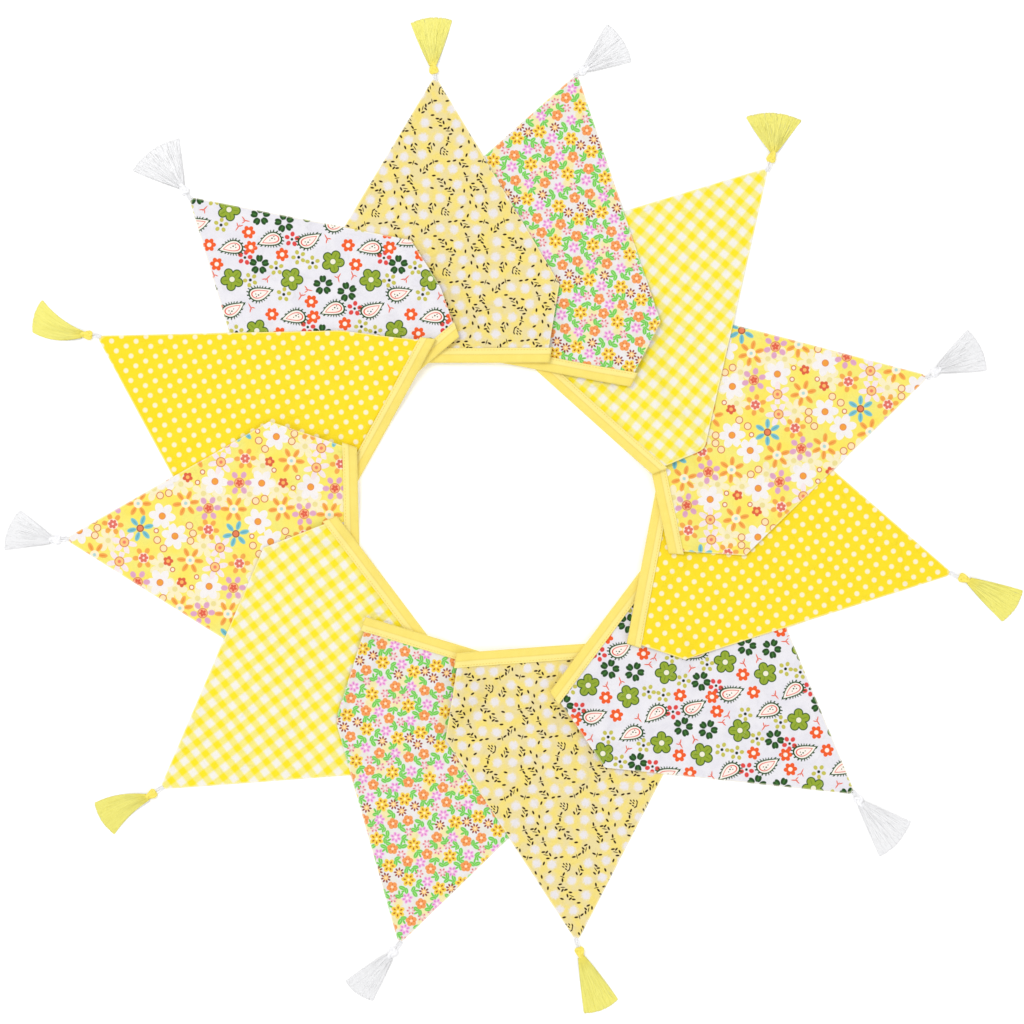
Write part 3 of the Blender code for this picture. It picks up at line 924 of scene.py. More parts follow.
TRIES = 70            # spots that are tried for each motif
ANY_WAY = (0, 180)    # direction of a motif and how far it may lie from that, in degrees
FAR = 99.0            # further than any motif of a print
PATCH_SOFT = 0.14     # of the edge between a ground's two colours
CHECK = 12.7          # one repeat of the gingham, in millimetres
CHECK_SOFT = 1.2
DOT_PITCH = 13.6
DOT_RADIUS = 2.1
DOT_SOFT = 0.7


def laid_out(repeat, motifs, seed):
    """Spots for every motif on one repeat, each as far from the others as can be.

    A row of motifs gives the kind, how many, the room it needs, and its direction and spread.
    """
    draw = random.Random(seed)
    placed = []
    rows = {}
    for motif, count, radius, *aim in motifs:
        turn, spread = aim or ANY_WAY
        rows.setdefault(motif, [])
        for _ in range(count):
            best = None
            best_room = -math.inf
            for _ in range(TRIES):
                x = draw.uniform(0, repeat[0])
                y = draw.uniform(0, repeat[1])
                room = math.inf
                for other_x, other_y, other_radius in placed:
                    dx = (x - other_x + repeat[0] / 2) % repeat[0] - repeat[0] / 2
                    dy = (y - other_y + repeat[1] / 2) % repeat[1] - repeat[1] / 2
                    room = min(room, math.hypot(dx, dy) - radius - other_radius)
                if room > best_room:
                    best = (x, y)
                    best_room = room
            placed.append((*best, radius))
            angle = math.radians(turn + draw.uniform(-spread, spread))
            rows[motif].append((*best, angle))
    return rows


# A ring of petals: how many, how far out, half length and half width, the radius of a disc that
# joins them, and the turns at which the ring is repeated
Petals = namedtuple("Petals", "count reach long wide core turns", defaults=(0, (0.0,)))


class Print:
    """One printed cloth: motifs laid out on its own repeat, in millimetres, and painted in turn."""

    def __init__(self, n, cloth, repeat, seed, motifs, grounds):
        first, second, scale = grounds
        self.n = n
        self.cloth = cloth
        self.repeat = repeat
        self.spots = laid_out(repeat, motifs, seed)
        self.found = {}
        patch = n.under(n.noise(cloth, scale, 2.0)["Fac"], 0.5, PATCH_SOFT)
        self.ground = n.mix("RGBA", patch, colour(*first), colour(*second))

    def place(self, motif):
        """Coordinates of the nearest motif of a kind, its turn in z, and its distance."""
        if motif not in self.found:
            kept, distance = (0, 0, 0), FAR
            half = (self.repeat[0] / 2, self.repeat[1] / 2, 90)
            for spot in self.spots[motif]:
                step = self.n.use(NEAREST, Cloth=self.cloth, Spot=spot, Kept=kept,
                                  Kept_Distance=distance, Half_Repeat=half)
                kept, distance = step["Kept"], step["Distance"]
            self.found[motif] = (kept, distance)
        return self.found[motif]

    def own(self, motif):
        """Coordinates in the motif's own direction."""
        return self.n.use(TURNED, Place=self.place(motif)[0])["Place"]

    def petals(self, motif, ring):
        """Level of a ring of petals, 1 on its edge."""
        place, distance = self.place(motif)
        levels = [self.n.use(PETALS, Place=place, Count=float(ring.count), Reach=ring.reach,
                             Long=ring.long, Wide=ring.wide, Turn=turn)["Level"]
                  for turn in ring.turns]
        if ring.core:
            levels.append(distance / ring.core)
        return self.n.lowest(levels)

    def ovals(self, motif, table):
        """Level of the union of several ovals: x, y, degrees, half length, half width."""
        own = self.own(motif)
        levels = []
        for x, y, degrees, long, wide in table:
            oval = self.n.add("ShaderNodeMapping", {"vector_type": "TEXTURE"}, Vector=own,
                              Location=(x, y, 0), Rotation=(0, 0, math.radians(degrees)),
                              Scale=(long, wide, 1))
            levels.append(self.n.vector("LENGTH", oval))
        return self.n.lowest(levels)

    def lay(self, mask, tint):
        self.ground = self.n.paint(self.ground, mask, colour(*tint))

    def paint(self, rows):
        """Paints row by row: motif, its radius or petals or ovals, softness, colour, strength."""
        for motif, shape, soft, tint, *strength in rows:
            if isinstance(shape, float):
                mask = self.n.under(self.place(motif)[1], shape, soft)
            elif isinstance(shape, Petals):
                mask = self.n.under(self.petals(motif, shape), 1.0, soft)
            else:
                mask = self.n.under(self.ovals(motif, shape), 1.0, soft)
            if strength:
                mask = mask * strength[0]
            self.lay(mask, tint)


SPRIG = [(0.0, 0.0, 12, 2.2, 0.42), (-3.1, 1.5, 30, 1.75, 0.84), (-0.3, 2.6, 72, 1.65, 0.80),
         (2.7, -2.1, 26, 1.7, 0.82), (3.3, 1.7, -42, 1.75, 0.84)]
FORK = [(0.0, -0.2, 84, 2.2, 0.42), (-2.7, -1.1, 18, 1.8, 0.84), (2.7, -0.8, -12, 1.8, 0.84)]
SPRAY = [(0.0, -2.9, 8, 2.6, 0.50), (2.6, -2.2, 40, 1.4, 0.6), (-2.6, -2.3, -35, 1.5, 0.6),
         (-2.1, 0.0, 75, 1.2, 0.58), (0.2, 0.4, 60, 1.2, 0.58), (2.4, 0.6, 50, 1.2, 0.58),
         (-0.9, 2.8, 80, 1.2, 0.58), (1.6, 3.1, 55, 1.2, 0.58)]
SEED = [(0, 0, 0, 1.75, 0.84)]
TWIG = [(0.0, -1.2, 85, 3.2, 0.55), (1.7, 1.5, 45, 2.1, 0.52), (-1.5, 1.0, -48, 1.8, 0.50)]
LEAF_PAIR = [(-2.3, 0.5, 24, 3.1, 1.8), (2.1, 1.0, -38, 2.8, 1.7), (0.2, -1.9, 80, 2.2, 0.9)]
LEAF_VEINS = [(-2.3, 0.5, 24, 2.2, 0.28), (2.1, 1.0, -38, 1.9, 0.26)]
DROP_SEEDS = [(2.4, 0.5, 0, 0.75, 0.65), (4.6, -0.8, 0, 0.55, 0.5), (4.4, 1.5, 0, 0.55, 0.5),
              (0.2, -0.6, 0, 0.5, 0.45)]


def leaf_print(n, cloth):
    """Soft white blossoms and small dark sprigs on pale yellow."""
    cut = Print(n, cloth, (61.0, 53.0), 11,
                [("blossom", 12, 3.8), ("spray", 1, 5.2, 90, 20),
                 ("sprig", 8, 5.4), ("fork", 5, 5.2), ("seed", 11, 2.4)],
                ((243, 221, 122), (235, 218, 158), 0.09))
    ragged = cut.place("blossom")[1] + n.noise(cloth, 0.55, 2.0)["Fac"] * 4.4
    cut.lay(n.under(ragged, 6.0, 1.6) * 0.92, (233, 229, 235))
    cut.paint([(motif, shape, 0.22, (50, 29, 5)) for motif, shape in (
        ("sprig", SPRIG), ("fork", FORK), ("spray", SPRAY), ("seed", SEED))])
    return cut.ground


def pink_floral(n, cloth):
    """Small close flowers in orange, yellow, lilac and brown with green leaves, on white."""
    cut = Print(n, cloth, (66.0, 60.0), 23,
                [("yellow", 5, 6.0), ("orange", 7, 4.8), ("lilac", 6, 4.6),
                 ("brown", 4, 4.6), ("rose", 7, 3.4), ("leaf", 24, 2.6),
                 ("blot", 8, 1.0)],
                ((235, 232, 234), (232, 228, 218), 0.10))
    cut.paint([
        ("blot", 4.4, 1.6, (242, 230, 172)),
        ("rose", Petals(6, 2.6, 1.5, 1.0), 0.3, (240, 178, 186)),
        ("rose", Petals(6, 2.9, 0.6, 0.5), 0.4, (206, 96, 96)),
        ("leaf", LEAF_PAIR, 0.2, (112, 204, 82)),
        ("leaf", LEAF_VEINS, 0.5, (172, 228, 140)),
        ("lilac", Petals(6, 3.0, 1.8, 1.3), 0.22, (240, 168, 222)),
        ("lilac", Petals(6, 3.0, 0.8, 0.5), 0.4, (216, 128, 196)),
        ("lilac", 1.1, 0.4, (250, 230, 238)),
        ("brown", 2.6, 0.8, (252, 206, 132)),
        ("brown", Petals(8, 3.3, 1.3, 0.8), 0.25, (150, 66, 62)),
        ("brown", 0.9, 0.3, (250, 226, 190)),
        ("orange", Petals(5, 2.7, 2.3, 2.3, 3.6), 0.14, (243, 156, 88)),
        ("orange", Petals(5, 2.2, 1.2, 0.4, turns=(0.6,)), 0.5, (228, 118, 58)),
        ("orange", 1.2, 0.5, (255, 226, 190)),
        ("yellow", Petals(6, 3.7, 2.7, 2.0, 3.9), 0.14, (247, 210, 76)),
        ("yellow", Petals(6, 3.4, 1.2, 0.7), 0.3, (186, 104, 28)),
        ("yellow", 1.1, 0.4, (255, 238, 180)),
    ])
    return cut.ground


def daisy_print(n, cloth):
    """Large open daisies in orange, white, lilac and blue, small rings between, on yellow."""
    cut = Print(n, cloth, (92.0, 84.0), 5,
                [("orange", 3, 13.0), ("heart", 2, 12.4),
                 ("white", 4, 10.6), ("blue", 1, 11.0),
                 ("lilac", 2, 10.4), ("open", 2, 10.4), ("star", 2, 5.0),
                 ("ring", 7, 4.6, 0, 0), ("bead", 4, 4.2, 0, 0), ("ghost", 6, 3.0)],
                ((249, 229, 96), (243, 233, 122), 0.04))
    orange = (243, 168, 78)
    brown = (214, 124, 82)
    cut.paint([
        ("ghost", Petals(6, 7.0, 4.0, 2.9, 5.0), 0.14, (246, 236, 204), 0.85),
        ("ghost", 2.4, 0.4, (236, 222, 150)),
        ("white", Petals(6, 6.9, 5.0, 3.6, 6.4), 0.10, (243, 238, 236)),
        ("white", 3.1, 0.3, brown),
        ("white", 2.6, 0.3, (242, 158, 62)),
        ("open", Petals(6, 7.0, 4.4, 2.3), 0.14, (244, 228, 230)),
        ("open", 4.4, 0.3, brown),
        ("open", 3.6, 0.3, (250, 200, 124)),
        ("open", 1.5, 0.4, (238, 130, 104)),
        ("orange", Petals(6, 7.6, 4.0, 2.05), 0.16, orange),
        ("orange", Petals(6, 7.0, 2.6, 0.5), 0.7, (236, 140, 56)),
        ("orange", 3.9, 0.4, (250, 238, 206)),
        ("orange", 1.5, 0.5, (180, 212, 210)),
        ("heart", Petals(6, 6.9, 2.7, 2.1), 0.18, orange),
        ("heart", 4.6, 0.4, (252, 230, 214)),
        ("heart", Petals(6, 2.5, 1.7, 1.4), 0.2, (226, 112, 98)),
        ("lilac", Petals(6, 7.8, 3.0, 2.4), 0.16, (222, 164, 194)),
        ("lilac", 4.5, 0.3, brown),
        ("lilac", 3.8, 0.3, (248, 178, 132)),
        ("lilac", Petals(5, 1.8, 1.5, 1.1), 0.2, (224, 96, 72)),
        ("blue", Petals(6, 7.6, 4.2, 2.1), 0.14, (120, 192, 206)),
        ("blue", Petals(6, 7.2, 2.8, 0.5), 0.7, (92, 166, 190)),
        ("blue", 3.3, 0.3, (150, 78, 62)),
        ("blue", 2.4, 0.4, (232, 128, 84)),
        ("ring", 3.4, 0.25, brown),
        ("ring", 2.6, 0.25, (251, 226, 176)),
        ("bead", 2.35, 0.25, brown),
        ("bead", 1.45, 0.25, (251, 236, 214)),
        ("star", Petals(5, 2.1, 2.5, 1.9), 0.2, (222, 96, 62)),
        ("star", 1.6, 0.4, (248, 184, 100)),
    ])
    return cut.ground


def paisley_print(n, cloth):
    """Outlined drops, olive and green flowers and small red and orange ones, on off-white."""
    cut = Print(n, cloth, (90.0, 82.0), 8,
                [("olive", 3, 10.8), ("drop", 2, 10.4, 165, 28),
                 ("drop", 2, 10.4, 345, 28), ("green", 3, 9.6),
                 ("orange", 5, 6.2), ("khaki", 5, 6.8), ("red", 2, 6.6),
                 ("twig", 6, 2.6)],
                ((235, 233, 238), (229, 227, 234), 0.06))
    dark = (34, 74, 30)
    moss = (112, 140, 34)
    cut.paint([
        ("twig", TWIG, 0.3, (230, 106, 84)),
        ("khaki", Petals(5, 4.6, 2.0, 1.75), 0.18, (196, 190, 84)),
        ("khaki", 1.35, 0.3, (28, 44, 32)),
        ("red", Petals(5, 4.6, 2.2, 1.9), 0.18, (222, 70, 66)),
        ("red", 1.2, 0.3, (28, 60, 36)),
        ("orange", Petals(6, 3.8, 2.2, 1.9, 4.2), 0.12, (240, 92, 36)),
        ("orange", 1.9, 0.3, (248, 240, 228)),
        ("green", Petals(5, 5.6, 3.1, 1.95, turns=(-0.18, 0.18)), 0.12, dark),
        ("green", Petals(5, 5.6, 1.9, 0.8), 0.5, (58, 112, 46)),
        ("olive", Petals(5, 6.2, 4.2, 4.2, 6.6), 0.07, (52, 88, 26)),
        ("olive", Petals(5, 6.2, 3.25, 3.25, 5.65), 0.07, (146, 168, 48)),
        ("olive", Petals(5, 5.6, 2.4, 0.35), 0.8, moss),
        ("olive", 3.0, 0.3, moss),
        ("olive", 2.3, 0.3, (240, 236, 214)),
    ])
    own = cut.own("drop")
    inner = own + (-0.8, 0.2, 0)
    fringe = n.use(DROP, Place=own, Long=25.0, Wide=15.8)
    body = n.use(DROP, Place=own, Long=22.0, Wide=12.6)
    ticks = n.under(body["Ticks"] * -1.0, -0.35, 0.3)
    cut.lay(n.under(fringe["Level"], 1.0, 0.1) * ticks, dark)
    cut.lay(n.under(body["Level"], 1.0, 0.08), dark)
    for place, long, wide, soft, tint in ((own, 19.4, 10.2, 0.08, (248, 243, 232)),
                                          (inner, 15.6, 7.6, 0.12, (226, 96, 84)),
                                          (inner, 13.4, 6.0, 0.14, (250, 240, 232))):
        layer = n.use(DROP, Place=place, Long=long, Wide=wide)
        cut.lay(n.under(layer["Level"], 1.0, soft), tint)
    cut.paint([("drop", DROP_SEEDS, 0.3, (54, 84, 48))])
    return cut.ground


def stripes(n, value):
    """1 on every second half of the gingham's repeat."""
    wave = n.math("WRAP", value, CHECK / 2, -CHECK / 2)
    return n.under(n.math("ABSOLUTE", wave), CHECK / 4, CHECK_SOFT)


def gingham(n, cloth):
    """Yellow and white checks: both ways coloured, one way coloured, bare."""
    sway = (n.noise(cloth, 0.03, 1.0)["Color"] - HALF) * 2.4
    x, y, _ = n.split(cloth + sway)
    one = stripes(n, x)
    two = stripes(n, y)
    ground = n.paint(colour(242, 238, 228), n.math("MAXIMUM", one, two), colour(245, 233, 132))
    return n.paint(ground, one * two, colour(249, 228, 34))


def dot_print(n, cloth):
    """White dots in staggered rows on bright yellow."""
    half = DOT_PITCH / 2
    levels = []
    for shift in (0.0, half):
        moved = cloth + (shift, shift, 0)
        wrapped = n.vector("WRAP", moved, (half, half, 1), (-half, -half, -1))
        levels.append(n.vector("LENGTH", wrapped * FLAT))
    ground = n.mix("RGBA", n.noise(cloth, 0.05, 2.0)["Fac"], colour(251, 219, 18),
                   colour(250, 226, 48))
    dots = n.under(n.lowest(levels), DOT_RADIUS, DOT_SOFT)
    return n.paint(ground, dots, colour(249, 239, 204))


# Materials

COTTON_PITCH = 0.42   # between the threads of the weave, in millimetres
TAPE_PITCH = 0.36
BIAS = 45             # degrees between the tape's length and its threads
YARN_GRAIN = 900.0
THREAD_GRAIN = 1600.0


def new_material(name):
    material = bpy.data.materials.new(name)
    material.use_nodes = True
    n = Nodes(material.node_tree)
    return material, n, Step(n, material.node_tree.nodes["Principled BSDF"])


def cotton(name, printed):
    """A printed cotton material: its print, weave with painted shade between its threads, turned
    edge with a painted highlight, and light creases.
    """
    material, n, shader = new_material(name)
    cloth = n.add("ShaderNodeUVMap", {"uv_map": "cloth"})["UV"]
    edge = n.add("ShaderNodeAttribute", {"attribute_name": "edge"})["Fac"]
    weave = n.use(WEAVE, Cloth=cloth, Pitch=COTTON_PITCH, Unevenness=0.6)
    border = n.use(EDGE, Edge=edge, Cloth=cloth)
    base = printed(n, cloth)
    # random mottle together with the weave's painted shade between threads, darkening the print
    shade = (n.noise(cloth, 0.9, 3.0)["Fac"] * 0.10 + 0.95) * weave["Shade"]
    tint = n.mix("RGBA", shade, BLACK, base)
    # a paler print for the painted highlight along the turned edge's fold
    pale = n.mix("RGBA", 0.35, base, colour(250, 244, 214))
    height = (weave["Height"] * 0.06 + border["Ridge"] * 0.30 + border["Pucker"] * 1.1
              + border["Wrinkle"] * 5.0)
    shader.feed(Base_Color=n.paint(tint, border["Fold"], pale),
                Normal=n.add("ShaderNodeBump", Strength=0.7, Distance=0.001, Height=height),
                Roughness=weave["Height"] * -0.12 + 0.92, Sheen_Weight=0.06,
                Sheen_Roughness=0.5, Specular_IOR_Level=0.25)
    return material


def tape_material():
    """Butter-yellow bias tape, its threads at an angle to its length."""
    material, n, shader = new_material("butter_tape")
    cloth = n.add("ShaderNodeUVMap", {"uv_map": "cloth"})["UV"]
    bias = n.add("ShaderNodeMapping", Vector=cloth, Rotation=(0, 0, math.radians(BIAS)))
    weave = n.use(WEAVE, Cloth=bias, Pitch=TAPE_PITCH, Unevenness=0.3)
    mottle = n.noise(cloth, 0.12, 3.0)["Fac"]
    _, around, _ = n.split(cloth)
    raised_hem_highlight = n.under(around, HEM_IN, 0.25)
    step = n.under(n.math("ABSOLUTE", around - HEM_IN), 0.25, 0.35)
    base = n.mix("RGBA", mottle, colour(249, 230, 124), colour(245, 220, 104))
    # painted highlight: the raised hem is painted paler
    base = n.paint(base, raised_hem_highlight * 0.55, colour(252, 239, 158))
    # painted shade: a darker line where the hem steps down
    base = n.paint(base, step * 0.35, colour(224, 190, 74))
    height = weave["Height"] * 0.05 + mottle * 0.5 + raised_hem_highlight * 0.35
    # the weave's painted shade between threads darkens the colour
    shader.feed(Base_Color=n.mix("RGBA", weave["Shade"], BLACK, base),
                Normal=n.add("ShaderNodeBump", Strength=0.6, Distance=0.001, Height=height),
                Roughness=weave["Height"] * -0.10 + 0.86, Sheen_Weight=0.12,
                Specular_IOR_Level=0.3)
    return material


def lifted_normal(n, share):
    """Normals drawn towards straight up, for fine thread that passes light to its neighbours."""
    surface = n.add("ShaderNodeNewGeometry")
    return n.vector("NORMALIZE", n.mix("VECTOR", share, surface["Normal"], (0, 0, 1)))


def yarn_material(name, light, deep, root_tint):
    """Smooth tassel thread: each thread its own tone, with painted shade on the lower threads, fine
    streaks along it.
    """
    material, n, shader = new_material(name)
    shade = n.add("ShaderNodeAttribute", {"attribute_name": "shade"})["Fac"]
    along = n.add("ShaderNodeAttribute", {"attribute_name": "along"})["Fac"]
    streaks = n.noise(n.add("ShaderNodeTexCoord")["Object"], YARN_GRAIN, 2.0)["Fac"]
    # light to deep by each thread's random tone and by painted shade on the threads lying low in
    # the fan
    base = n.mix("RGBA", shade, colour(*light), colour(*deep))
    base = n.paint(base, n.under(along, 0.16, 0.14) * 0.7, colour(*root_tint))
    bump = n.add("ShaderNodeBump", Strength=0.3, Distance=0.0002, Height=streaks,
                 Normal=lifted_normal(n, 0.6))
    shader.feed(Base_Color=n.mix("RGBA", streaks * 0.16 + 0.92, BLACK, base), Normal=bump,
                Roughness=shade * 0.15 + 0.42, Sheen_Weight=0.2)
    return material


def knot_material(name, light, deep):
    """Twisted bundle of thread, with the lay of its threads as grooves, painted in shade where they
    dip.
    """
    material, n, shader = new_material(name)
    place = n.add("ShaderNodeUVMap", {"uv_map": "lay"})["UV"]
    x, y, _ = n.split(place)
    groove = n.math("SINE", (x * 5.0 + y) * math.tau) * 0.5 + 0.5
    mottle = n.noise(place, 6.0, 3.0)["Fac"]
    bump = n.add("ShaderNodeBump", Strength=0.5, Distance=0.0003, Height=groove,
                 Normal=lifted_normal(n, 0.4))
    # deep in the grooves between strands and light on their crowns, broken by mottle: painted shade
    shader.feed(Base_Color=n.mix("RGBA", groove * mottle, colour(*deep), colour(*light)),
                Normal=bump, Roughness=groove * -0.15 + 0.6, Sheen_Weight=0.15)
    return material


def thread_material():
    """Sewing thread with its twist."""
    material, n, shader = new_material("sewing_thread")
    twist = n.noise(n.add("ShaderNodeTexCoord")["Object"], THREAD_GRAIN, 2.0)["Fac"]
    shader.feed(Base_Color=n.mix("RGBA", twist, colour(236, 204, 96), colour(220, 180, 62)),
                Roughness=twist * 0.2 + 0.5)
    return material


def all_materials():
    """Every finish of the bunting, by the slot or the word that asks for it."""
    materials = {slot: cotton(name, printed) for slot, name, printed in (
        ("leaf_print", "leaf_cotton", leaf_print), ("pink_floral", "floral_cotton", pink_floral),
        ("gingham", "gingham_cotton", gingham), ("daisy_print", "daisy_cotton", daisy_print),
        ("dot_print", "dot_cotton", dot_print), ("paisley_print", "paisley_cotton", paisley_print))}
    materials["tape"] = tape_material()
    materials["thread"] = thread_material()
    materials["yarn_yellow"] = yarn_material("yellow_yarn", (248, 242, 132), (242, 232, 100),
                                             (244, 228, 86))
    materials["yarn_white"] = yarn_material("white_yarn", (248, 248, 249), (240, 240, 242),
                                            (242, 242, 244))
    materials["knot_yellow"] = knot_material("yellow_knot", (254, 244, 128), (247, 224, 84))
    materials["knot_white"] = knot_material("white_knot", (255, 255, 255), (243, 243, 246))
    return materials


# Geometry Nodes


def grown(name, tree, values, host=None):
    """The mesh that a node tree grows from the given inputs and its own defaults."""
    obj = linked(name, host or bpy.data.meshes.new(name))
    modifier = obj.modifiers.new("grow", "NODES")
    modifier.node_group = tree
    for item in tree.interface.items_tree:
        if item.item_type == "SOCKET" and item.in_out == "INPUT" and item.name in values:
            modifier[item.identifier] = values[item.name]
    bpy.context.view_layer.update()
    graph = bpy.context.evaluated_depsgraph_get()
    mesh = bpy.data.meshes.new_from_object(obj.evaluated_get(graph))
    obj.modifiers.remove(modifier)
    bpy.data.objects.remove(obj, do_unlink=True)
    return mesh

STITCH_THICK = 0.0004
THREAD_POINTS = 8     # along each thread of a fan
NECK_RUN = 0.45       # of a thread's length, over which it comes down to the floor


def stitch_tree():
    """Short stitches at an even pitch along every seam line."""
    n, get, put = new_group(
        "topstitch", "GeometryNodeTree",
        [("Geometry", SHAPE), ("Pitch", FLOAT, STITCH_PITCH), ("Length", FLOAT, STITCH),
         ("Thickness", FLOAT, STITCH_THICK), ("Thread", "NodeSocketMaterial")],
        [("Geometry", SHAPE)])
    line = n.add("GeometryNodeMeshToCurve", Mesh=get["Geometry"])
    spots = n.add("GeometryNodeResampleCurve", {"mode": "LENGTH"}, Curve=line,
                  Length=get["Pitch"])
    ball = n.add("GeometryNodeMeshUVSphere", Segments=6, Rings=4, Radius=0.5)
    size = n.join(get["Length"], get["Thickness"], get["Thickness"])
    stitch = n.add("GeometryNodeTransform", Geometry=ball["Mesh"], Scale=size)
    turn = n.add("FunctionNodeAlignRotationToVector", {"axis": "X"},
                 Vector=n.add("GeometryNodeInputTangent"))
    placed = n.add("GeometryNodeInstanceOnPoints", Points=spots, Instance=stitch, Rotation=turn)
    made = n.add("GeometryNodeRealizeInstances", Geometry=placed)
    put.feed(Geometry=n.add("GeometryNodeSetMaterial", Geometry=made, Material=get["Thread"]))
    return n.tree


def fan_tree():
    """Threads that fan out from a neck to a cut end, in locks."""
    n, get, put = new_group(
        "thread_fan", "GeometryNodeTree",
        [("Geometry", SHAPE), ("Threads", "NodeSocketInt", THREADS), ("Neck", VECTOR),
         ("First Corner", VECTOR), ("Last Corner", VECTOR), ("Outward", VECTOR),
         ("Neck Width", FLOAT, NECK_WIDE), ("Neck Height", FLOAT, NECK_HIGH),
         ("Fan Height", FLOAT, FAN_HIGH), ("Bow", FLOAT, FAN_BOW), ("Curve", FLOAT, 0.0),
         ("Locks", FLOAT, LOCKS), ("Clump", FLOAT, CLUMP), ("Radius", FLOAT, THREAD),
         ("Seed", "NodeSocketInt", 1), ("Yarn", "NodeSocketMaterial")],
        [("Geometry", SHAPE)])
    line = n.add("GeometryNodeCurvePrimitiveLine", Start=(0, 0, 0), End=(1, 0, 0))
    fine = n.add("GeometryNodeResampleCurve", {"mode": "COUNT"}, Curve=line, Count=THREAD_POINTS)
    points = n.add("GeometryNodePoints", Count=get["Threads"])
    placed = n.add("GeometryNodeInstanceOnPoints", Points=points, Instance=fine)
    threads = n.add("GeometryNodeRealizeInstances", Geometry=placed)
    t = n.add("GeometryNodeSplineParameter")["Factor"]
    own = n.add("GeometryNodeCurveOfPoint")["Curve Index"]

    def draw(step, low=0.0, high=1.0):
        made = n.add("FunctionNodeRandomValue", {"data_type": "FLOAT"}, ID=own,
                     Seed=get["Seed"] + float(step))
        made.node.inputs[2].default_value = low
        made.node.inputs[3].default_value = high
        return made[1]

    share = (own + draw(1)) / get["Threads"]
    layer = draw(2)
    lock = share * get["Locks"]
    middle = (n.math("FLOOR", lock) + 0.5) / get["Locks"]
    spread = n.mix("FLOAT", get["Clump"] * t, share, middle)
    width = get["Last Corner"] - get["First Corner"]
    across = n.vector("NORMALIZE", width)
    root = get["Neck"] + across * ((share - 0.5) * get["Neck Width"])
    arc = spread * (1.0 - spread) * 4.0 * get["Bow"] * n.vector("LENGTH", width)
    target = n.mix("VECTOR", spread, get["First Corner"], get["Last Corner"])
    target = target + get["Outward"] * (arc + draw(3, -0.0010, 0.0004))
    # the threads leave the neck side by side, sway in their middle and then open out
    ease = t * (1.0 - t) * 4.0
    sway = get["Curve"] * ease + ease * draw(4, -0.0009, 0.0009)
    spot = n.mix("VECTOR", t, root, target) + across * sway
    down = n.add("ShaderNodeMapRange", {"interpolation_type": "SMOOTHSTEP"}, Value=t,
                 From_Max=NECK_RUN)
    lock_rise = n.math("ABSOLUTE", n.math("SINE", lock * math.pi)) * 0.35
    fan_rise = (lock_rise + 0.4) * layer * get["Fan Height"] * (1.15 - t)
    height = n.mix("FLOAT", down, layer * get["Neck Height"], fan_rise) + get["Radius"]
    marked = n.add("GeometryNodeSetPosition", Geometry=threads,
                   Position=spot + n.join(0.0, 0.0, height))
    # each thread's random tone, plus painted shade on the threads that lie lowest in the fan
    shade = draw(5) * 0.55 + (1.0 - layer) * 0.45
    for label, value in (("shade", shade), ("along", t)):
        marked = n.add("GeometryNodeStoreNamedAttribute",
                       {"data_type": "FLOAT", "domain": "POINT"}, Geometry=marked, Name=label,
                       Value=value)
    ring = n.add("GeometryNodeCurvePrimitiveCircle", Resolution=3, Radius=get["Radius"])
    tubes = n.add("GeometryNodeCurveToMesh", Curve=marked, Profile_Curve=ring["Curve"],
                  Fill_Caps=True)
    smooth_tubes = n.add("GeometryNodeSetShadeSmooth", Geometry=tubes)
    made = n.add("GeometryNodeRealizeInstances", Geometry=smooth_tubes)
    put.feed(Geometry=n.add("GeometryNodeSetMaterial", Geometry=made, Material=get["Yarn"]))
    return n.tree


# Knots, loops and fans

LOBE = 0.09           # how far a twisted strand stands out, of the bundle's radius
LAY_REPEATS = 8       # of the groove pattern, once round a knot or a loop


def swept(points, radius, sides, lobes, twist, flat=1.0):
    """A closed tube along a closed row of points, with lobes that wind round it."""
    bm = bmesh.new()
    uv = bm.loops.layers.uv.new("lay")
    count = len(points)
    rings = []
    for i, point in enumerate(points):
        way = (points[(i + 1) % count] - points[i - 1]).normalized()
        side = way.cross(Vector((0, 0, 1))).normalized()
        up = side.cross(way).normalized()
        ring = []
        for k in range(sides):
            angle = math.tau * k / sides
            swell = 1 + LOBE * math.cos(lobes * angle + twist * math.tau * i / count)
            ring.append(bm.verts.new(point + (side * math.cos(angle)
                                              + up * math.sin(angle) * flat) * radius * swell))
        rings.append(ring)
    skinned(bm, uv, rings, lambda ring, place: (ring / count * LAY_REPEATS, place / sides),
            around=True)
    return closed_mesh("swept", bm)


def knot_points(middle, inward, size):
    """An overhand knot, flattened a little, its long way in line with the tassel."""
    side = Vector((-inward.y, inward.x))
    points = []
    for k in range(KNOT_POINTS):
        t = math.tau * k / KNOT_POINTS
        x = (math.sin(t) + 2 * math.sin(2 * t)) / 3
        y = (math.cos(t) - 2 * math.cos(2 * t)) / 3
        z = -math.sin(3 * t)
        spot = middle + side * x * size * KNOT_WIDE + inward * y * size * KNOT_LONG
        points.append(Vector((spot.x, spot.y, KNOT_MIDDLE + z * KNOT_RISE)))
    return points


def loop_points(start, end, side, wide, floor, ceiling):
    """A long narrow loop of thread, low at its start and lying on the cloth at its end."""
    points = []
    for k in range(LOOP_POINTS):
        t = math.tau * k / LOOP_POINTS
        share = 0.5 - 0.5 * math.cos(t)
        spot = start.lerp(end, share) + side * wide * math.sin(t)
        rise = smooth(share * 1.6)
        points.append(Vector((spot.x, spot.y, floor + (ceiling - floor) * float(rise))))
    return points


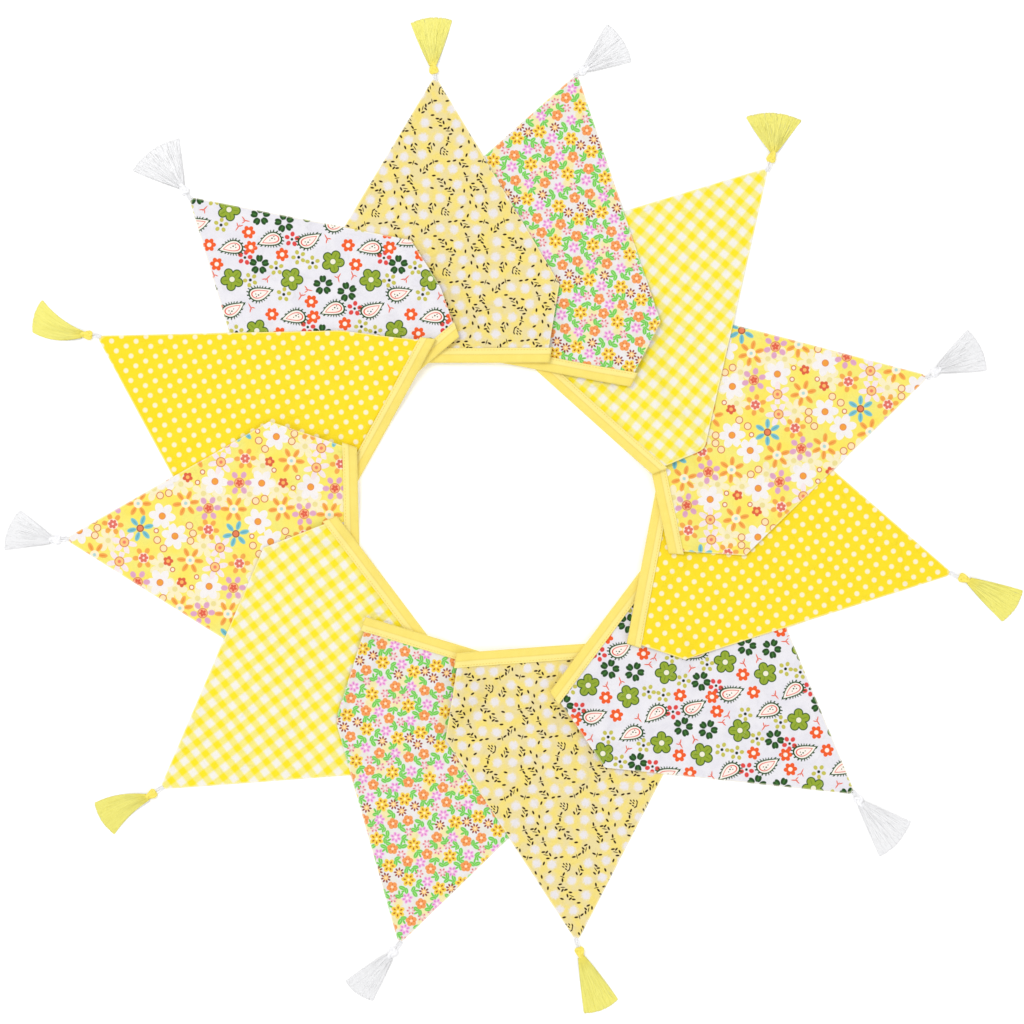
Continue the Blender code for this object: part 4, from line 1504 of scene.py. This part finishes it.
def tassel(row, flag, stack, fan, materials):
    """A fan of threads with its knot and the two loops that hold it to the point."""
    name, yarn, neck_spot, first, last, curve = row
    neck = at(neck_spot)
    start, end = at(first), at(last)
    outward = ((start + end) / 2 - neck).normalized()
    inward = (flag.tip - neck).normalized()
    span = (flag.tip - neck).length
    root = neck + inward * span * SEWN_AT
    values = {
        "Neck": (root.x, root.y, 0.0), "First Corner": (start.x, start.y, 0.0),
        "Last Corner": (end.x, end.y, 0.0), "Outward": (outward.x, outward.y, 0.0),
        "Curve": curve * UNIT, "Seed": FAN_SEED * int(name), "Yarn": materials["yarn_" + yarn],
    }
    threads = piece("tassel_%s_threads" % name, grown("fan", fan, values),
                    materials["yarn_" + yarn])
    middle = neck + inward * span * KNOT_AT
    knot = swept(knot_points(middle, inward, min(KNOT_SIZE, span * KNOT_AT)), KNOT_YARN,
                 KNOT_SIDES, lobes=5, twist=9.0, flat=0.85)
    knot = piece("tassel_%s_knot" % name, knot, materials["knot_" + yarn])
    side = Vector((-inward.y, inward.x))
    on_cloth = flag.tip + inward * LOOP_ON
    ceiling = float(stack.under("cloth", flag.name, on_cloth.x, on_cloth.y)) + CLOTH
    loops = []
    for lean, wide in LOOPS:
        way = (inward + side * lean).normalized()
        points = loop_points(neck + inward * span * LOOP_AT, flag.tip + way * LOOP_ON, side,
                             wide, LOOP_LOW, ceiling + LOOP_YARN)
        loops.append(swept(points, LOOP_YARN, LOOP_SIDES, lobes=2, twist=24.0))
    pair = joined("tassel_%s_loop" % name, loops, materials["knot_white"])
    return threads, knot, pair


def joined(name, meshes, material):
    bm = bmesh.new()
    for mesh in meshes:
        bm.from_mesh(mesh)
        bpy.data.meshes.remove(mesh)
    mesh = bpy.data.meshes.new(name)
    bm.to_mesh(mesh)
    bm.free()
    mesh.shade_smooth()
    return piece(name, mesh, material)


def seam_mesh(seams):
    """Every seam line as edges of one mesh."""
    mesh = bpy.data.meshes.new("seams")
    points = [p for seam in seams for p in seam]
    edges = []
    offset = 0
    for seam in seams:
        edges += [(offset + k, offset + k + 1) for k in range(len(seam) - 1)]
        offset += len(seam)
    mesh.from_pydata(points, edges, [])
    return mesh


# The studio and the whole bunting

CAMERA_HEIGHT = 3.2
SENSOR = 36.0
FLOOR_SIZE = 5.0
FLOOR_DROP = 0.0002   # how far the floor lies under the cloth
WHITE = (1.0, 1.0, 1.0, 1)
LAMPS = (("key", (-1.4, 1.2, 3.8), 1.4, 54.0), ("fill", (1.6, -1.9, 3.7), 2.6, 27.0))


def stage(centre):
    """A pale floor, soft light from above and a camera straight over the ring."""
    world = bpy.data.worlds.new("studio")
    bpy.context.scene.world = world
    world.use_nodes = True
    background = Step(Nodes(world.node_tree), world.node_tree.nodes["Background"])
    background.feed(Color=WHITE, Strength=0.78)
    material, n, shader = new_material("pale_floor")
    mottle = n.noise(n.add("ShaderNodeTexCoord")["Object"], 6.0, 2.0)["Fac"]
    shader.feed(Base_Color=n.mix("RGBA", mottle, (0.96, 0.96, 0.96, 1), (0.975, 0.975, 0.975, 1)),
                Roughness=0.9, Emission_Color=WHITE, Emission_Strength=0.10)
    bm = bmesh.new()
    bmesh.ops.create_grid(bm, x_segments=1, y_segments=1, size=FLOOR_SIZE)
    floor_mesh = bpy.data.meshes.new("floor")
    bm.to_mesh(floor_mesh)
    bm.free()
    floor = piece("floor", floor_mesh, material)
    floor.location.z = -FLOOR_DROP
    for name, spot, size, power in LAMPS:
        light = bpy.data.lights.new(name, "AREA")
        light.size = size
        light.energy = power
        lamp = linked(name, light)
        lamp.location = Vector(spot)
        lamp.rotation_euler = (-Vector(spot)).to_track_quat("-Z", "Y").to_euler()
    camera_data = bpy.data.cameras.new("camera")
    camera_data.sensor_width = SENSOR
    camera_data.lens = SENSOR * CAMERA_HEIGHT / (PICTURE * UNIT)
    camera = linked("camera", camera_data)
    camera.location = (centre.x, centre.y, CAMERA_HEIGHT)
    bpy.context.scene.camera = camera
    bpy.context.scene.view_settings.view_transform = "Standard"


def main():
    flags = [Flag(row) for row in PENNANTS]
    stack = Stack(flags)
    # the solids are centred on the origin, so one of them gives the way from here to there
    low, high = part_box("pennant_01")
    xs = [p.x for p in flags[0].cloth]
    ys = [p.y for p in flags[0].cloth]
    shift = Vector(((low.x + high.x) / 2 - (min(xs) + max(xs)) / 2,
                    (low.y + high.y) / 2 - (min(ys) + max(ys)) / 2, 0))
    materials = all_materials()
    made = []
    sheets = []
    for flag in flags:
        obj = piece("flag_" + flag.name, pennant(flag, stack), materials[flag.slot])
        made.append((obj, flag.slot, "pennant_" + flag.name))
        sheets.append(obj)
    tape_mesh, seams, length = binding_tape(flags, stack)
    tape = piece("folded_tape", tape_mesh, materials["tape"])
    made.append((tape, "tape", "binding_tape"))
    stitch_mesh = grown("stitches", stitch_tree(), {"Thread": materials["thread"]},
                        seam_mesh(seams))
    stitches = piece("tape_stitches", stitch_mesh, materials["thread"])
    made.append((stitches, "tape", None))
    fan = fan_tree()
    for row, flag in zip(TASSELS, flags):
        slot = "tassel_" + row[1]
        threads, knot, loop = tassel(row, flag, stack, fan, materials)
        made.append((threads, slot, "tassel_" + row[0]))
        made.append((knot, slot, None))
        made.append((loop, "tassel_white", None))
    for obj, slot, node in made:
        obj.data.transform(Matrix.Translation(shift))
        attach(obj, "root")
        if node:
            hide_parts(node)
    for obj, flag, after in zip(sheets, flags, flags[1:] + flags[:1]):
        flag.flat_size()
        abs(signed_area(flag.cloth))
    stage(at((PICTURE / 2, PICTURE / 2)) + Vector(shift[:2]))


main()
